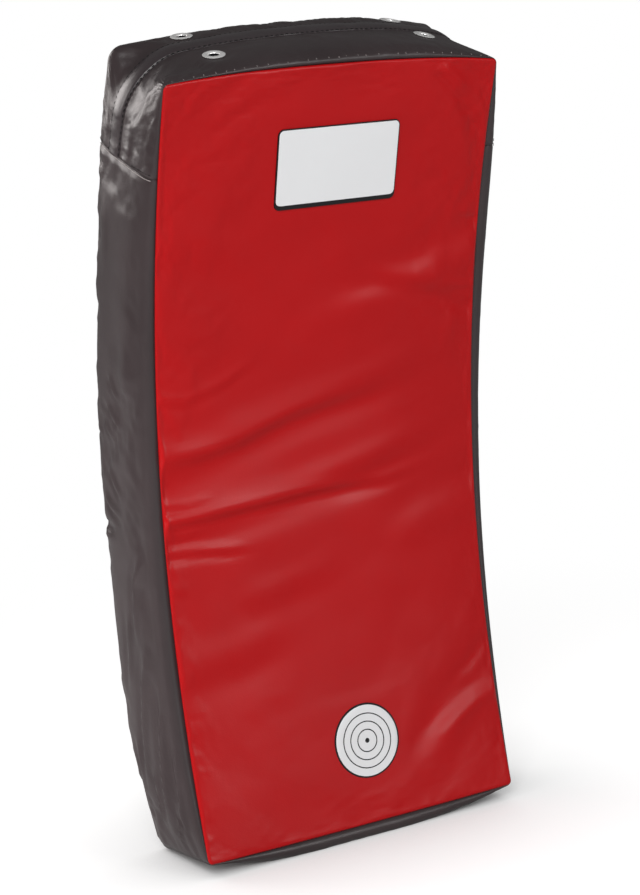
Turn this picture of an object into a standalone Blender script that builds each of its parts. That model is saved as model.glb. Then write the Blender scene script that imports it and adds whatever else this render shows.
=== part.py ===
"""A curved strike shield: foam layers in a vinyl cover with a flapped zip, eyelets, patches and two handles.

Metres, +Z up, the struck face towards -Y. The body is drawn as a straight box of x across, depth behind the
front seam and v up the chord, and place() bends that box, leans it and sets its foot on the ground.
"""

import math

import bmesh
import bpy
import numpy as np
from mathutils import Matrix, Vector

# The padded body, measured between its seams
WIDTH = 0.353
HEIGHT = 0.750
DEPTH = 0.120
FRONT_SAG = 0.061
REAR_SAG = 0.058
TOP_OVERHANG = 0.030
BOTTOM_OVERHANG = 0.026
FRONT_CORNER = 0.005
REAR_CORNER = 0.012
LEFT_CORNER_SWELL = 0.040
RIGHT_CORNER_SWELL = 0.018
CORNER_RISE = 0.50
CORNER_FALL = 0.25

# How far the stuffed cover swells past its seams
SIDE_BULGE = 0.017
LEFT_TILT = -0.3
RIGHT_TILT = 0.6
TOP_ARCH = 0.0076
TOP_DOME = 0.0095
TOP_TILT = 0.3
BOTTOM_ARCH = 0.001
GROUND_STEPS = 8
BELLY = 0.021
SWELL_POWER = 3.3
SIDE_FADE = 6
END_FADE = 2.5
FRONT_CROWN = 0.005
BACK_CROWN = 0.008

# How the shield stands
LEAN = math.radians(6.0)
FRONT_LIFT = 0.015

# Sheet thicknesses and the clearance between touching pieces
SKIN = 0.0012
GAP = 0.0003

# Foam layers, front to back, inside the cover
STRIKE_FOAM = 0.030
CORE_FOAM = 0.030
FOAM_SIDE_GAP = 0.0022
FOAM_LAG = 0.003
FOAM_FOOT_GAP = 0.0050
FOAM_FACE_GAP = 0.0006
FOAM_REST_GAP = 0.0009
FOAM_TOP_GAP = 0.0065
FOAM_CORNER = 0.012
FOAM_EASE = 0.03
FOAM_SECTIONS = (1, 1.5, 2.5, 4.5)

# Cover seams across the sides and the closure along the top gusset
SEAM_DROP = 0.086
SEAM_STATION = 0.9
CORNER_SPLIT = 0.03
ZIP_DEPTH = DEPTH * 0.6333
SLOT_WIDTH = 0.010
SLOT_FACET = 0.004
FLAP_WIDTH = 0.0235
FLAP_RISE = 0.0032
FLAP_ROUNDING = 0.8
FLAP_END_DROP = 0.024
TEETH_WIDTH = 0.0022
TEETH_PARTING = 0.0014
TEETH_TOP = -0.0010
TEETH_BOTTOM = -0.0030
TAPE_WIDTH = 0.010
TAPE_TOP = -0.0018
TAPE_BOTTOM = -0.0026
STOP_LENGTH = 0.003
STOP_TOP = -0.0008
STOP_BOTTOM = -0.0033
STOP_WIDTH = 0.0060

# Zip slider and its pull tab
SLIDER_LENGTH = 0.012
SLIDER_WIDTH = 0.008
SLIDER_PLATE = 0.0009
SLIDER_RUN_GAP = 0.0006
SLIDER_BRIDGE = 0.0005
SLIDER_BRIDGE_LENGTH = 0.0025
SLIDER_SEAM_CLEARANCE = 0.012
SLIDER_TRAVEL = 0.020
CROWN_HALF_OPENING = 0.002
CROWN_LEG = 0.002
CROWN_WIDTH = 0.002
CROWN_OPENING = 0.003
CROWN_ROOF = 0.0012
TAB_LENGTH = 0.026
TAB_WIDTH = 0.0064
TAB_THICKNESS = 0.0013
TAB_BAR = 0.0014
TAB_WINDOW = 0.0058
TAB_CLEARANCE = 0.0004
TAB_TAPER = 0.8

# Eyelets and the washers that hold them. A spot is a share of the width across and, in front of the flap, the
# clearance between the flap's edge and the flange; behind the flap the eyelets sit halfway to the seam
EYELET_HOLE = 0.0047
EYELET_BARREL = 0.0056
EYELET_FLANGE = 0.0107
EYELET_HEIGHT = 0.0017
EYELET_WALL_LEVEL = 0.0004
WASHER_RADIUS = 0.0085
WASHER_THICKNESS = 0.0007
WASHER_DROP = 0.0012
EYELET_LIP = 0.0012
EYELET_ROUND = 0.0030
EYELET_EDGE = 0.0008
FRONT_EYELETS = {"left": (-0.306, 0.0125), "right": (0.3513, 0.0015)}
REAR_EYELETS = {"left": -0.3116, "right": 0.3314}

# Patches on the struck face
PATCH_CLEARANCE = 0.0005
LABEL_CENTRE = (0.007, HEIGHT - 0.0865)
LABEL_SIZE = (0.131, 0.074)
LABEL_CORNER = 0.006
LABEL_RIM = 0.0015
LABEL_DROP_EDGE = 0.003
LABEL_BACKING = 0.0010
LABEL_FACE = 0.0005
MARK_CENTRE = (0.0145, 0.0805)
MARK_RADIUS = 0.037
MARK_THICKNESS = 0.0006

# Back handles
HANDLE_HEIGHTS = {"upper": HEIGHT * 0.6933, "lower": HEIGHT * 0.34}
HANDLE_SPAN = 0.170
STRAP_WIDTH = 0.038
STRAP_THICKNESS = 0.0025
STRAP_RISE = 0.046
STRAP_RISE_RUN = 0.036
STRAP_FOOT_LEVEL = 0.0100
STRAP_FOOT_RAMP = 0.016
STRAP_SEWN_LENGTH = 0.034
STRAP_END_GAP = 0.0006
SEWN_CLEARANCE = 0.0005
GRIP_LENGTH = 0.092
GRIP_CLEARANCE = 0.0005
GRIP_WIDTH_TAPER = 0.08
GRIP_THICKNESS_TAPER = 0.35
GRIP_WIDTH = STRAP_WIDTH + 0.010
GRIP_THICKNESS = STRAP_THICKNESS + 0.0175
GRIP_SQUARENESS = 3
PATCH_SIZE = (0.062, STRAP_WIDTH + 0.030)
PATCH_CORNER = 0.008

# Facets
SHARP_ANGLE = math.radians(35)
LOW_SIDE_STEPS = 12
HIGH_SIDE_STEPS = 5
SIDE_STEPS = LOW_SIDE_STEPS + HIGH_SIDE_STEPS
CORNER_STEPS = 6
END_STEPS = 8
SWELL_STEPS = 8
GRIP_STEPS = 10
LEG_STEPS = 7
RAMP_STEPS = 5
ROUND_STEPS = 20
LEFT, TOP_LEFT, TOP, TOP_RIGHT, RIGHT, BOTTOM_RIGHT, BOTTOM, BOTTOM_LEFT = range(8)

RED = (0.42, 0.012, 0.016)
BLACK = (0.035, 0.032, 0.036)
FOAM_BLUE = (0.13, 0.16, 0.20)
FOAM_GREY = (0.30, 0.30, 0.29)
WHITE = (0.80, 0.80, 0.78)
NICKEL = (0.66, 0.65, 0.62)
WEBBING = (0.020, 0.020, 0.022)


def clamp(value, low=0.0, high=1.0):
    return min(max(value, low), high)


def smooth(value):
    value = clamp(value)
    return value * value * (3 - 2 * value)


def ends(depth):
    """The chord heights of the bottom and top seams at a depth."""
    share = clamp(depth / DEPTH)
    return -BOTTOM_OVERHANG * share, HEIGHT + TOP_OVERHANG * share


def place(x, depth, v):
    """The world point of a point of the straight body."""
    share = clamp(depth / DEPTH)
    low, high = ends(depth)
    t = (2 * v - low - high) / (high - low)
    sag = FRONT_SAG + (REAR_SAG - FRONT_SAG) * share
    across = 1 - min(abs(2 * x / WIDTH), 1) ** 4
    along = 1 - min(abs(t), 1) ** 6
    y = depth - DEPTH / 2 + sag * (1 - t * t)
    y -= FRONT_CROWN * across * along * max(1 - 2 * share, 0)
    y += BACK_CROWN * across * along * max(2 * share - 1, 0)
    rise = FRONT_LIFT + DEPTH / 2 * math.sin(LEAN)
    world_y = y * math.cos(LEAN) - v * math.sin(LEAN)
    world_z = y * math.sin(LEAN) + v * math.cos(LEAN) + rise
    return Vector((x, world_y, world_z))


def resting(x, depth, v, lowest):
    """The chord height v, raised where the body would otherwise sink under the level called lowest."""
    for _ in range(GROUND_STEPS):
        short = lowest - place(x, depth, v).z
        if short <= 0:
            break
        v += short / math.cos(LEAN)
    return v


def corner_radius(depth, swell=0.0):
    """A corner's radius at a depth. The stuffed top corners round off by their swell between the seams."""
    radius = FRONT_CORNER + (REAR_CORNER - FRONT_CORNER) * clamp(depth / DEPTH)
    share = (depth - SKIN - GAP) / (DEPTH - 2 * (SKIN + GAP))
    return radius + swell * smooth(share / CORNER_RISE) * smooth((1 - share) / CORNER_FALL)


def warped(share, length, seam_height):
    """A share up a side's straight part, shifted so that SEAM_STATION falls on the cross seam."""
    seam = seam_height / length
    if share <= SEAM_STATION:
        return share * seam / SEAM_STATION
    return seam + (share - SEAM_STATION) * (1 - seam) / (1 - SEAM_STATION)


def swell_at(depth, lag=0.0):
    """The share of its full swell that the cover has at a depth: none at the seams, quickly full between."""
    edge = SKIN + GAP + lag
    share = clamp((depth - edge) / (DEPTH - 2 * edge))
    return max(1 - abs(2 * share - 1) ** SWELL_POWER, 0) ** (1 / SWELL_POWER)


def rim(station, depth, inset=0.0, lag=0.0, corner=0.0):
    """The outline at a depth, as (x, v). Stations 0 to 8 run up the left side, over the top and back."""
    low, high = ends(depth)
    foot_radius = max(corner_radius(depth), corner)
    left_radius = max(corner_radius(depth, LEFT_CORNER_SWELL), corner)
    right_radius = max(corner_radius(depth, RIGHT_CORNER_SWELL), corner)
    half = WIDTH / 2
    part = int(station) % 8
    share = station - int(station)
    if part in (LEFT, RIGHT):
        length = high - low - foot_radius - (left_radius if part == LEFT else right_radius)
        seam_height = high - SEAM_DROP - low - foot_radius
        side = -1 if part == LEFT else 1
        x = side * half
        v = low + foot_radius + length * warped(share if part == LEFT else 1 - share, length, seam_height)
        out = (side, 0)
    elif part == TOP:
        x = left_radius - half + share * (2 * half - left_radius - right_radius)
        v = high
        out = (0, 1)
    elif part == BOTTOM:
        x = (1 - 2 * share) * (half - foot_radius)
        v = low
        out = (0, -1)
    else:
        turn = share * math.pi / 2
        out = {
            TOP_LEFT: (-math.cos(turn), math.sin(turn)),
            TOP_RIGHT: (math.sin(turn), math.cos(turn)),
            BOTTOM_RIGHT: (math.cos(turn), -math.sin(turn)),
            BOTTOM_LEFT: (-math.sin(turn), -math.cos(turn)),
        }[part]
        at_top = part in (TOP_LEFT, TOP_RIGHT)
        radius = {TOP_LEFT: left_radius, TOP_RIGHT: right_radius}.get(part, foot_radius)
        side = -1 if part in (TOP_LEFT, BOTTOM_LEFT) else 1
        x = side * (half - radius) + radius * out[0]
        v = (high - radius if at_top else low + radius) + radius * out[1]
    push_x, push_v = swelled(x, v, low, high, swell_at(depth, lag))
    return x + push_x - inset * out[0], v + push_v - inset * out[1]


def swelled(x, v, low, high, swell):
    """How far the stuffing pushes a point of the plain outline out, across and up."""
    half = WIDTH / 2
    f = clamp(2 * (v - low) / (high - low) - 1, -1.0, 1.0)
    tilt = LEFT_TILT if x < 0 else RIGHT_TILT
    push_x = x / half * SIDE_BULGE * (1 + tilt * f) * (1 - abs(f) ** SIDE_FADE) * swell
    across = x / half
    fade = 1 - min(abs(across), 1) ** END_FADE
    if v > (low + high) / 2:
        return push_x, (TOP_ARCH + TOP_DOME * (1 + TOP_TILT * across) * swell) * fade
    return push_x, -(BOTTOM_ARCH + BELLY * swell) * fade


def part_marks(part):
    """Where a part's facets start, as shares of it: closer together above the cross seam."""
    if part in (LEFT, RIGHT):
        marks = [SEAM_STATION * k / LOW_SIDE_STEPS for k in range(LOW_SIDE_STEPS)]
        marks += [SEAM_STATION + (1 - SEAM_STATION) * k / HIGH_SIDE_STEPS for k in range(HIGH_SIDE_STEPS + 1)]
        return marks[:-1] if part == LEFT else [1 - mark for mark in reversed(marks)][:-1]
    steps = END_STEPS if part in (TOP, BOTTOM) else CORNER_STEPS
    return [k / steps for k in range(steps)]


def stations(first, last):
    """The stations between two, at the facets of each part of the outline."""
    marks = [first]
    for part in range(int(first), int(math.ceil(last))):
        for share in part_marks(part % 8):
            mark = part + share
            if first + 1e-6 < mark < last - 1e-6:
                marks.append(mark)
    return marks + [last]


def point_at(station, depth):
    """A point of the gusset's outer surface, before the ground flattens it."""
    x, v = rim(station, depth)
    return place(x, depth, v)


def normal_at(station, depth):
    """The gusset's outward normal."""
    nudge = 1e-4
    along = point_at(station + nudge, depth) - point_at(station - nudge, depth)
    front = clamp(depth - nudge, SKIN + GAP, DEPTH)
    rear = clamp(depth + nudge, 0, DEPTH - SKIN - GAP)
    return along.cross(point_at(station, rear) - point_at(station, front)).normalized()


def layer(station, depth, level):
    """A point a level above the gusset's outer surface, and above the ground by as much as it lies inside."""
    point = point_at(station, depth) + normal_at(station, depth) * level
    point.z = max(point.z, -level, 0.0)
    return point


def local_frame(station, depth):
    """A matrix on the gusset: X along the outline, Y to the rear, Z outwards."""
    here = point_at(station, depth)
    normal = normal_at(station, depth)
    nudge = 1e-3
    along = (point_at(station + nudge, depth) - point_at(station - nudge, depth)).normalized()
    rear = normal.cross(along).normalized()
    return Matrix.Translation(here) @ Matrix((along, rear, normal)).transposed().to_4x4()


def top_station(x, depth):
    """The station of a point of the top edge, by its x."""
    left = WIDTH / 2 - corner_radius(depth, LEFT_CORNER_SWELL)
    right = WIDTH / 2 - corner_radius(depth, RIGHT_CORNER_SWELL)
    return TOP + (x + left) / (left + right)


def right_station(drop, depth):
    """The station on the right side or its top corner that lies a drop below the top seam."""
    radius = corner_radius(depth, RIGHT_CORNER_SWELL)
    if drop < radius:
        return TOP_RIGHT + math.acos(1 - drop / radius) / (math.pi / 2)
    return RIGHT + (1 - SEAM_STATION) * (drop - radius) / (SEAM_DROP - radius)


def material(name, colour, roughness, metallic=0.0):
    found = bpy.data.materials.get(name)
    if found:
        return found
    made = bpy.data.materials.new(name)
    made.use_nodes = True
    shader = made.node_tree.nodes["Principled BSDF"]
    shader.inputs["Base Color"].default_value = (*colour, 1)
    shader.inputs["Roughness"].default_value = roughness
    shader.inputs["Metallic"].default_value = metallic
    made.diffuse_color = (*colour, 1)
    return made


def finish(bm, name, surface_material, origin=None):
    """Makes the object, with its faces out and its origin where it turns or slides."""
    bmesh.ops.recalc_face_normals(bm, faces=bm.faces)
    mesh = bpy.data.meshes.new(name)
    if origin is not None:
        bmesh.ops.translate(bm, verts=bm.verts, vec=-origin)
    bm.to_mesh(mesh)
    bm.free()
    mesh.shade_smooth()
    mesh.set_sharp_from_angle(angle=SHARP_ANGLE)
    mesh.materials.append(surface_material)
    made = bpy.data.objects.new(name, mesh)
    bpy.context.scene.collection.objects.link(made)
    if origin is not None:
        made.location = origin
    return made


def add_quad(bm, a, b, c, d):
    """Two triangles, always split the same way, so that neighbouring layers keep their distance."""
    bm.faces.new((a, b, c))
    bm.faces.new((a, c, d))


def grid_solid(outer, inner):
    """A closed sheet between two grids of points of the same size."""
    bm = bmesh.new()
    rows, columns = len(outer), len(outer[0])
    sides = [[[bm.verts.new(p) for p in row] for row in grid] for grid in (outer, inner)]
    for grid in sides:
        for i in range(rows - 1):
            for j in range(columns - 1):
                add_quad(bm, grid[i][j], grid[i][j + 1], grid[i + 1][j + 1], grid[i + 1][j])
    edge = [(0, j) for j in range(columns)] + [(i, columns - 1) for i in range(1, rows)]
    edge += [(rows - 1, j) for j in range(columns - 2, -1, -1)] + [(i, 0) for i in range(rows - 2, 0, -1)]
    for (i, j), (k, l) in zip(edge, edge[1:] + edge[:1]):
        add_quad(bm, sides[0][i][j], sides[0][k][l], sides[1][k][l], sides[1][i][j])
    return bm


def filled(loop, up, across):
    """A grid that fills a closed loop of 2 * (up + across) points, which runs up, across, down and back."""
    loop = np.array(loop)
    left = loop[: up + 1]
    top = loop[up : up + across + 1]
    right = loop[up + across : 2 * up + across + 1][::-1]
    bottom = np.concatenate([loop[2 * up + across :], loop[:1]])[::-1]
    grid = []
    for i in range(up + 1):
        rise = (left[i][1] - left[0][1]) / (left[-1][1] - left[0][1])
        row = []
        for j in range(across + 1):
            run = (bottom[j][0] - bottom[0][0]) / (bottom[-1][0] - bottom[0][0])
            edges = (1 - rise) * bottom[j] + rise * top[j] + (1 - run) * left[i] + run * right[i]
            corners = (1 - rise) * ((1 - run) * bottom[0] + run * bottom[-1])
            corners = corners + rise * ((1 - run) * top[0] + run * top[-1])
            row.append(edges - corners)
        grid.append(row)
    return grid


def plug(sections, up, across):
    """A closed body through sections of (loop, depth), capped at its first and last."""
    bm = bmesh.new()
    rings = []
    for index, (loop, depth) in enumerate(sections):
        if index in (0, len(sections) - 1):
            grid = filled(loop, up, across)
            verts = [[bm.verts.new(place(p[0], depth, p[1])) for p in row] for row in grid]
            for i in range(up):
                for j in range(across):
                    add_quad(bm, verts[i][j], verts[i][j + 1], verts[i + 1][j + 1], verts[i + 1][j])
            ring = [verts[i][0] for i in range(up)] + [verts[up][j] for j in range(across)]
            ring += [verts[i][across] for i in range(up, 0, -1)]
            ring += [verts[0][j] for j in range(across, 0, -1)]
        else:
            ring = [bm.verts.new(place(p[0], depth, p[1])) for p in loop]
        rings.append(ring)
    for first, second in zip(rings, rings[1:]):
        for k in range(len(first)):
            n = (k + 1) % len(first)
            add_quad(bm, first[k], first[n], second[n], second[k])
    return bm


def body_loop(depth, inset=None, lag=0.0, corner=0.0, lowest=0.0):
    """The outline at a depth as a closed loop that starts in the middle of the bottom left corner."""
    loop = []
    for q in stations(7.5, 15.5)[:-1]:
        x, v = rim(q, depth, inset(q) if inset else 0.0, lag, corner)
        loop.append((x, resting(x, depth, v, lowest)))
    return loop


UP = SIDE_STEPS + CORNER_STEPS
ACROSS = END_STEPS + CORNER_STEPS


def face_panel(name, near, far, surface_material):
    sections = [(body_loop(depth), depth) for depth in (near, far)]
    return finish(plug(sections, UP, ACROSS), name, surface_material)


def foam_inset(station):
    """The foam's clearance to the cover: small at the sides and foot, wider round the zipped top."""
    part = int(station) % 8
    share = station - int(station)
    if part in (TOP_LEFT, TOP, TOP_RIGHT):
        return FOAM_TOP_GAP
    if part in (LEFT, RIGHT):
        up = share if part == LEFT else 1 - share
        ease = smooth((up - SEAM_STATION + FOAM_EASE) / FOAM_EASE)
        return FOAM_SIDE_GAP + (FOAM_TOP_GAP - FOAM_SIDE_GAP) * ease
    if part == BOTTOM:
        return FOAM_SIDE_GAP + (FOAM_FOOT_GAP - FOAM_SIDE_GAP) * (1 - abs(2 * share - 1) ** SIDE_FADE)
    return FOAM_SIDE_GAP


def foam_layer(name, near, far, surface_material):
    inner = SKIN + GAP
    rest = SKIN + FOAM_REST_GAP
    inner_depth = DEPTH - 2 * inner
    depths = {near, far}
    for depth in (inner + CORNER_RISE * inner_depth, DEPTH - inner - CORNER_FALL * inner_depth):
        if near < depth < far:
            depths.add(depth)
    for lags in FOAM_SECTIONS:
        for depth in (inner + lags * FOAM_LAG, DEPTH - inner - lags * FOAM_LAG):
            if near < depth < far:
                depths.add(depth)
    sections = [(body_loop(d, foam_inset, FOAM_LAG, FOAM_CORNER, rest), d) for d in sorted(depths)]
    return finish(plug(sections, UP, ACROSS), name, surface_material)


def eased_depths(near, far, steps):
    """Depths that crowd towards both edges, where the cover turns."""
    return [near + (far - near) * (1 - math.cos(math.pi * k / steps)) / 2 for k in range(steps + 1)]


def even_depths(near, far, steps):
    return [near + (far - near) * k / steps for k in range(steps + 1)]


def gusset_strip(name, first, last, depths, surface_material, top_level=0.0, bottom_level=-SKIN, rise=0.0):
    """A strip of the cover's gusset, or of something that follows it, from one station to another."""
    near, far = depths[0], depths[-1]
    outer = []
    inner = []
    for q in stations(first, last):
        lifts = [rise * abs(math.sin(math.pi * (d - near) / (far - near))) ** FLAP_ROUNDING for d in depths]
        outer.append([layer(q, d, top_level + lift) for d, lift in zip(depths, lifts)])
        inner.append([layer(q, d, bottom_level + lift) for d, lift in zip(depths, lifts)])
    return finish(grid_solid(outer, inner), name, surface_material)


def side_gap_share(depth):
    """Half of GAP as a share of a side's straight length."""
    low, high = ends(depth)
    return GAP / 2 / (high - low)


def full_turn(steps):
    return [2 * math.pi * k / steps for k in range(steps)]


def lathe(profile, steps=ROUND_STEPS):
    """A closed ring turned about Z from a closed profile of (radius, height)."""
    bm = bmesh.new()
    rings = []
    for turn in full_turn(steps):
        rings.append([bm.verts.new((r * math.cos(turn), r * math.sin(turn), z)) for r, z in profile])
    for first, second in zip(rings, rings[1:] + rings[:1]):
        for i in range(len(profile)):
            n = (i + 1) % len(profile)
            bm.faces.new((first[i], first[n], second[n], second[i]))
    return bm


def cylinder(radius, low, high, steps=ROUND_STEPS):
    bm = bmesh.new()
    rings = []
    for z in (low, high):
        spots = [(radius * math.cos(turn), radius * math.sin(turn), z) for turn in full_turn(steps)]
        rings.append([bm.verts.new(spot) for spot in spots])
    bm.faces.new(rings[0])
    bm.faces.new(rings[1])
    for k in range(steps):
        n = (k + 1) % steps
        bm.faces.new((rings[0][k], rings[0][n], rings[1][n], rings[1][k]))
    return bm


def box(low, high):
    bm = bmesh.new()
    bmesh.ops.create_cube(bm, size=1)
    size = Vector(high) - Vector(low)
    bmesh.ops.scale(bm, verts=bm.verts, vec=size)
    bmesh.ops.translate(bm, verts=bm.verts, vec=Vector(low) + size / 2)
    return bm


def extruded(outline, hole, low, high):
    """A plate from an outline with one hole of as many points, extruded along Z."""
    bm = bmesh.new()
    levels = []
    for z in (low, high):
        levels.append([[bm.verts.new((x, y, z)) for x, y in loop] for loop in (outline, hole)])
    count = len(outline)
    for k in range(count):
        n = (k + 1) % count
        for outer, inner in levels:
            bm.faces.new((outer[k], outer[n], inner[n], inner[k]))
        for loop in range(2):
            bm.faces.new((levels[0][loop][k], levels[0][loop][n], levels[1][loop][n], levels[1][loop][k]))
    return bm


def cut_with(target, bm, matrix, name):
    cutter = finish(bm, name, target.data.materials[0])
    cutter.matrix_world = matrix
    cutter.hide_render = True
    cutter.display_type = "WIRE"
    cut = target.modifiers.new(name, "BOOLEAN")
    cut.operation = "DIFFERENCE"
    cut.object = cutter


def rounded_loop(centre, size, radius, up, across):
    """A rounded rectangle of 2 * (up + across) points, up its left side from its lower left corner."""
    half_x, half_v = size[0] / 2 - radius, size[1] / 2 - radius
    loop = []
    corners = ((-1, -1), (-1, 1), (1, 1), (1, -1))
    counts = (up, across, up, across)
    for k, (corner, count) in enumerate(zip(corners, counts)):
        after = corners[(k + 1) % 4]
        start_turn = math.radians(225 - 90 * k)
        loop.append((corner, start_turn))
        for step in range(1, count):
            share = (step - 1) / (count - 2)
            blend = (corner[0] + (after[0] - corner[0]) * share, corner[1] + (after[1] - corner[1]) * share)
            loop.append((blend, math.radians(180 - 90 * k)))
    return [
        (
            centre[0] + half_x * spot[0] + radius * math.cos(turn),
            centre[1] + half_v * spot[1] + radius * math.sin(turn),
        )
        for spot, turn in loop
    ]


def sewn_patch(name, centre, size, corner, near, far, surface_material, up=6, across=8):
    """A thin sheet laid on the front or back face, between two depths."""
    loop = rounded_loop(centre, size, corner, up, across)
    return finish(plug([(loop, near), (loop, far)], up, across), name, surface_material)


def disc_patch(name, centre, radius, near, far, surface_material, rings=3, steps=24):
    bm = bmesh.new()
    sides = []
    for depth in (near, far):
        middle = bm.verts.new(place(centre[0], depth, centre[1]))
        loops = []
        for ring in range(1, rings + 1):
            reach = radius * ring / rings
            loop = []
            for turn in full_turn(steps):
                x = centre[0] + reach * math.cos(turn)
                loop.append(bm.verts.new(place(x, depth, centre[1] + reach * math.sin(turn))))
            loops.append(loop)
        for k in range(steps):
            n = (k + 1) % steps
            bm.faces.new((middle, loops[0][k], loops[0][n]))
            for first, second in zip(loops, loops[1:]):
                bm.faces.new((first[k], second[k], second[n], first[n]))
        sides.append(loops[-1])
    for k in range(steps):
        n = (k + 1) % steps
        bm.faces.new((sides[0][k], sides[0][n], sides[1][n], sides[1][k]))
    return finish(bm, name, surface_material)


def back_point(x, off, v):
    return place(x, DEPTH + off, v)


def path_normals(path):
    """Unit normals of a path of (x, off) points, on the outer side."""
    normals = []
    for k in range(len(path)):
        before = path[max(k - 1, 0)]
        after = path[min(k + 1, len(path) - 1)]
        run = Vector((after[0] - before[0], after[1] - before[1])).normalized()
        normals.append((-run.y, run.x))
    ends_up = math.copysign(1, normals[0][1])
    normals[0] = normals[-1] = (0, ends_up)
    return normals


def ribbon(path, v, width, thickness):
    """A flat band along a path of (x, off) on the back face."""
    bm = bmesh.new()
    rings = []
    for (x, off), (nx, no) in zip(path, path_normals(path)):
        ring = []
        for side, level in ((-1, -1), (0, -1), (1, -1), (1, 1), (0, 1), (-1, 1)):
            reach = level * thickness / 2
            ring.append(bm.verts.new(back_point(x + nx * reach, off + no * reach, v + side * width / 2)))
        rings.append(ring)
    for ring in (rings[0], rings[-1]):
        add_quad(bm, ring[0], ring[1], ring[4], ring[5])
        add_quad(bm, ring[1], ring[2], ring[3], ring[4])
    for first, second in zip(rings, rings[1:]):
        for k in range(6):
            n = (k + 1) % 6
            add_quad(bm, first[k], first[n], second[n], second[k])
    return bm


def sleeve(path, v, width, thickness, hole_width, hole_thickness, steps=ROUND_STEPS):
    """A padded tube along a path, with a flat hole for the band that it wraps."""
    bm = bmesh.new()
    rings = []
    last = len(path) - 1
    for index, ((x, off), (nx, no)) in enumerate(zip(path, path_normals(path))):
        end_share = abs(2 * index / last - 1) ** 3
        wide = width / 2 * (1 - GRIP_WIDTH_TAPER * end_share)
        thick = thickness / 2 * (1 - GRIP_THICKNESS_TAPER * end_share)
        rounds = []
        for k in range(steps):
            turn = 2 * math.pi * (k + 0.5) / steps
            side, lift = math.cos(turn), math.sin(turn)
            square = (abs(side) ** GRIP_SQUARENESS + abs(lift) ** GRIP_SQUARENESS) ** (-1 / GRIP_SQUARENESS)
            outer = (side * square * wide, lift * square * thick)
            flat = 1 / max(abs(side), abs(lift))
            inner = (side * flat * hole_width / 2, lift * flat * hole_thickness / 2)
            pair = []
            for across, up in (outer, inner):
                pair.append(bm.verts.new(back_point(x + nx * up, off + no * up, v + across)))
            rounds.append(pair)
        rings.append(rounds)
    for k in range(steps):
        n = (k + 1) % steps
        for first, second in zip(rings, rings[1:]):
            bm.faces.new((first[k][0], first[n][0], second[n][0], second[k][0]))
            bm.faces.new((first[k][1], first[n][1], second[n][1], second[k][1]))
        for ring in (rings[0], rings[-1]):
            bm.faces.new((ring[k][0], ring[n][0], ring[n][1], ring[k][1]))
    return bm


def strap_level(x):
    """How far the middle of a handle's band stands off the back face."""
    run = (HANDLE_SPAN / 2 - abs(x)) / STRAP_RISE_RUN
    return STRAP_FOOT_LEVEL + (STRAP_RISE - STRAP_FOOT_LEVEL) * smooth(run)


def build_cover(red, black):
    face_panel("front_panel", 0.0, SKIN, red)
    face_panel("back_panel", DEPTH - SKIN, DEPTH, black)
    near = SKIN + GAP
    far = DEPTH - SKIN - GAP
    split = side_gap_share(DEPTH)
    seam = SEAM_STATION - split
    depths = eased_depths(near, far, SWELL_STEPS)
    gusset_strip("left_side_panel", BOTTOM_LEFT + 0.5 + CORNER_SPLIT, 8 + seam, depths, black)
    gusset_strip("right_side_panel", 5 - seam, BOTTOM_RIGHT + 0.5 - CORNER_SPLIT, depths, black)
    foot_start = BOTTOM_RIGHT + 0.5 + CORNER_SPLIT
    foot_end = BOTTOM_LEFT + 0.5 - CORNER_SPLIT
    gusset_strip("bottom_panel", foot_start, foot_end, depths, black)
    left_end = SEAM_STATION + split
    right_end = 5 - SEAM_STATION - split
    slot_near = ZIP_DEPTH - SLOT_WIDTH / 2
    slot_far = ZIP_DEPTH + SLOT_WIDTH / 2
    flap_far = ZIP_DEPTH + FLAP_WIDTH / 2
    front_depths = [d for d in depths if d < slot_near - SLOT_FACET] + [slot_near]
    rear_depths = [slot_far, flap_far] + [d for d in depths if d > flap_far + SLOT_FACET]
    front_strip = gusset_strip("top_gusset_front", left_end, right_end, front_depths, black)
    rear_strip = gusset_strip("top_gusset_rear", left_end, right_end, rear_depths, black)
    return {"front": front_strip, "rear": rear_strip}


def build_closure(black, teeth_material, tape_material):
    split = side_gap_share(DEPTH)
    start = SEAM_STATION + 2 * split
    end = 5 - SEAM_STATION - 2 * split
    stop_share = STOP_LENGTH / HEIGHT
    chain_start = start + stop_share + 2 * split
    chain_end = end - stop_share - 2 * split
    flap_end = right_station(FLAP_END_DROP, ZIP_DEPTH)
    flap_near = ZIP_DEPTH - FLAP_WIDTH / 2
    flap_far = ZIP_DEPTH + FLAP_WIDTH / 2
    gusset_strip("zip_flap", start, flap_end, even_depths(flap_near, flap_far, 6), black,
                 GAP + SKIN, GAP, FLAP_RISE)
    inner = TEETH_PARTING / 2
    outer = inner + TEETH_WIDTH
    edge = outer + GAP
    for name, side in (("front", -1), ("rear", 1)):
        teeth = sorted((ZIP_DEPTH + side * inner, ZIP_DEPTH + side * outer))
        tape = sorted((ZIP_DEPTH + side * edge, ZIP_DEPTH + side * (edge + TAPE_WIDTH)))
        gusset_strip(f"zip_teeth_{name}", chain_start, chain_end, teeth, teeth_material, TEETH_TOP,
                     TEETH_BOTTOM)
        gusset_strip(f"zip_tape_{name}", start, end, tape, tape_material, TAPE_TOP, TAPE_BOTTOM)
    for name, first, last in (("left", start, start + stop_share), ("right", end - stop_share, end)):
        reach = min(STOP_WIDTH / 2, outer)
        sides = [ZIP_DEPTH - reach, ZIP_DEPTH + reach]
        gusset_strip(f"zip_stop_{name}", first, last, sides, teeth_material, STOP_TOP, STOP_BOTTOM)


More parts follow.
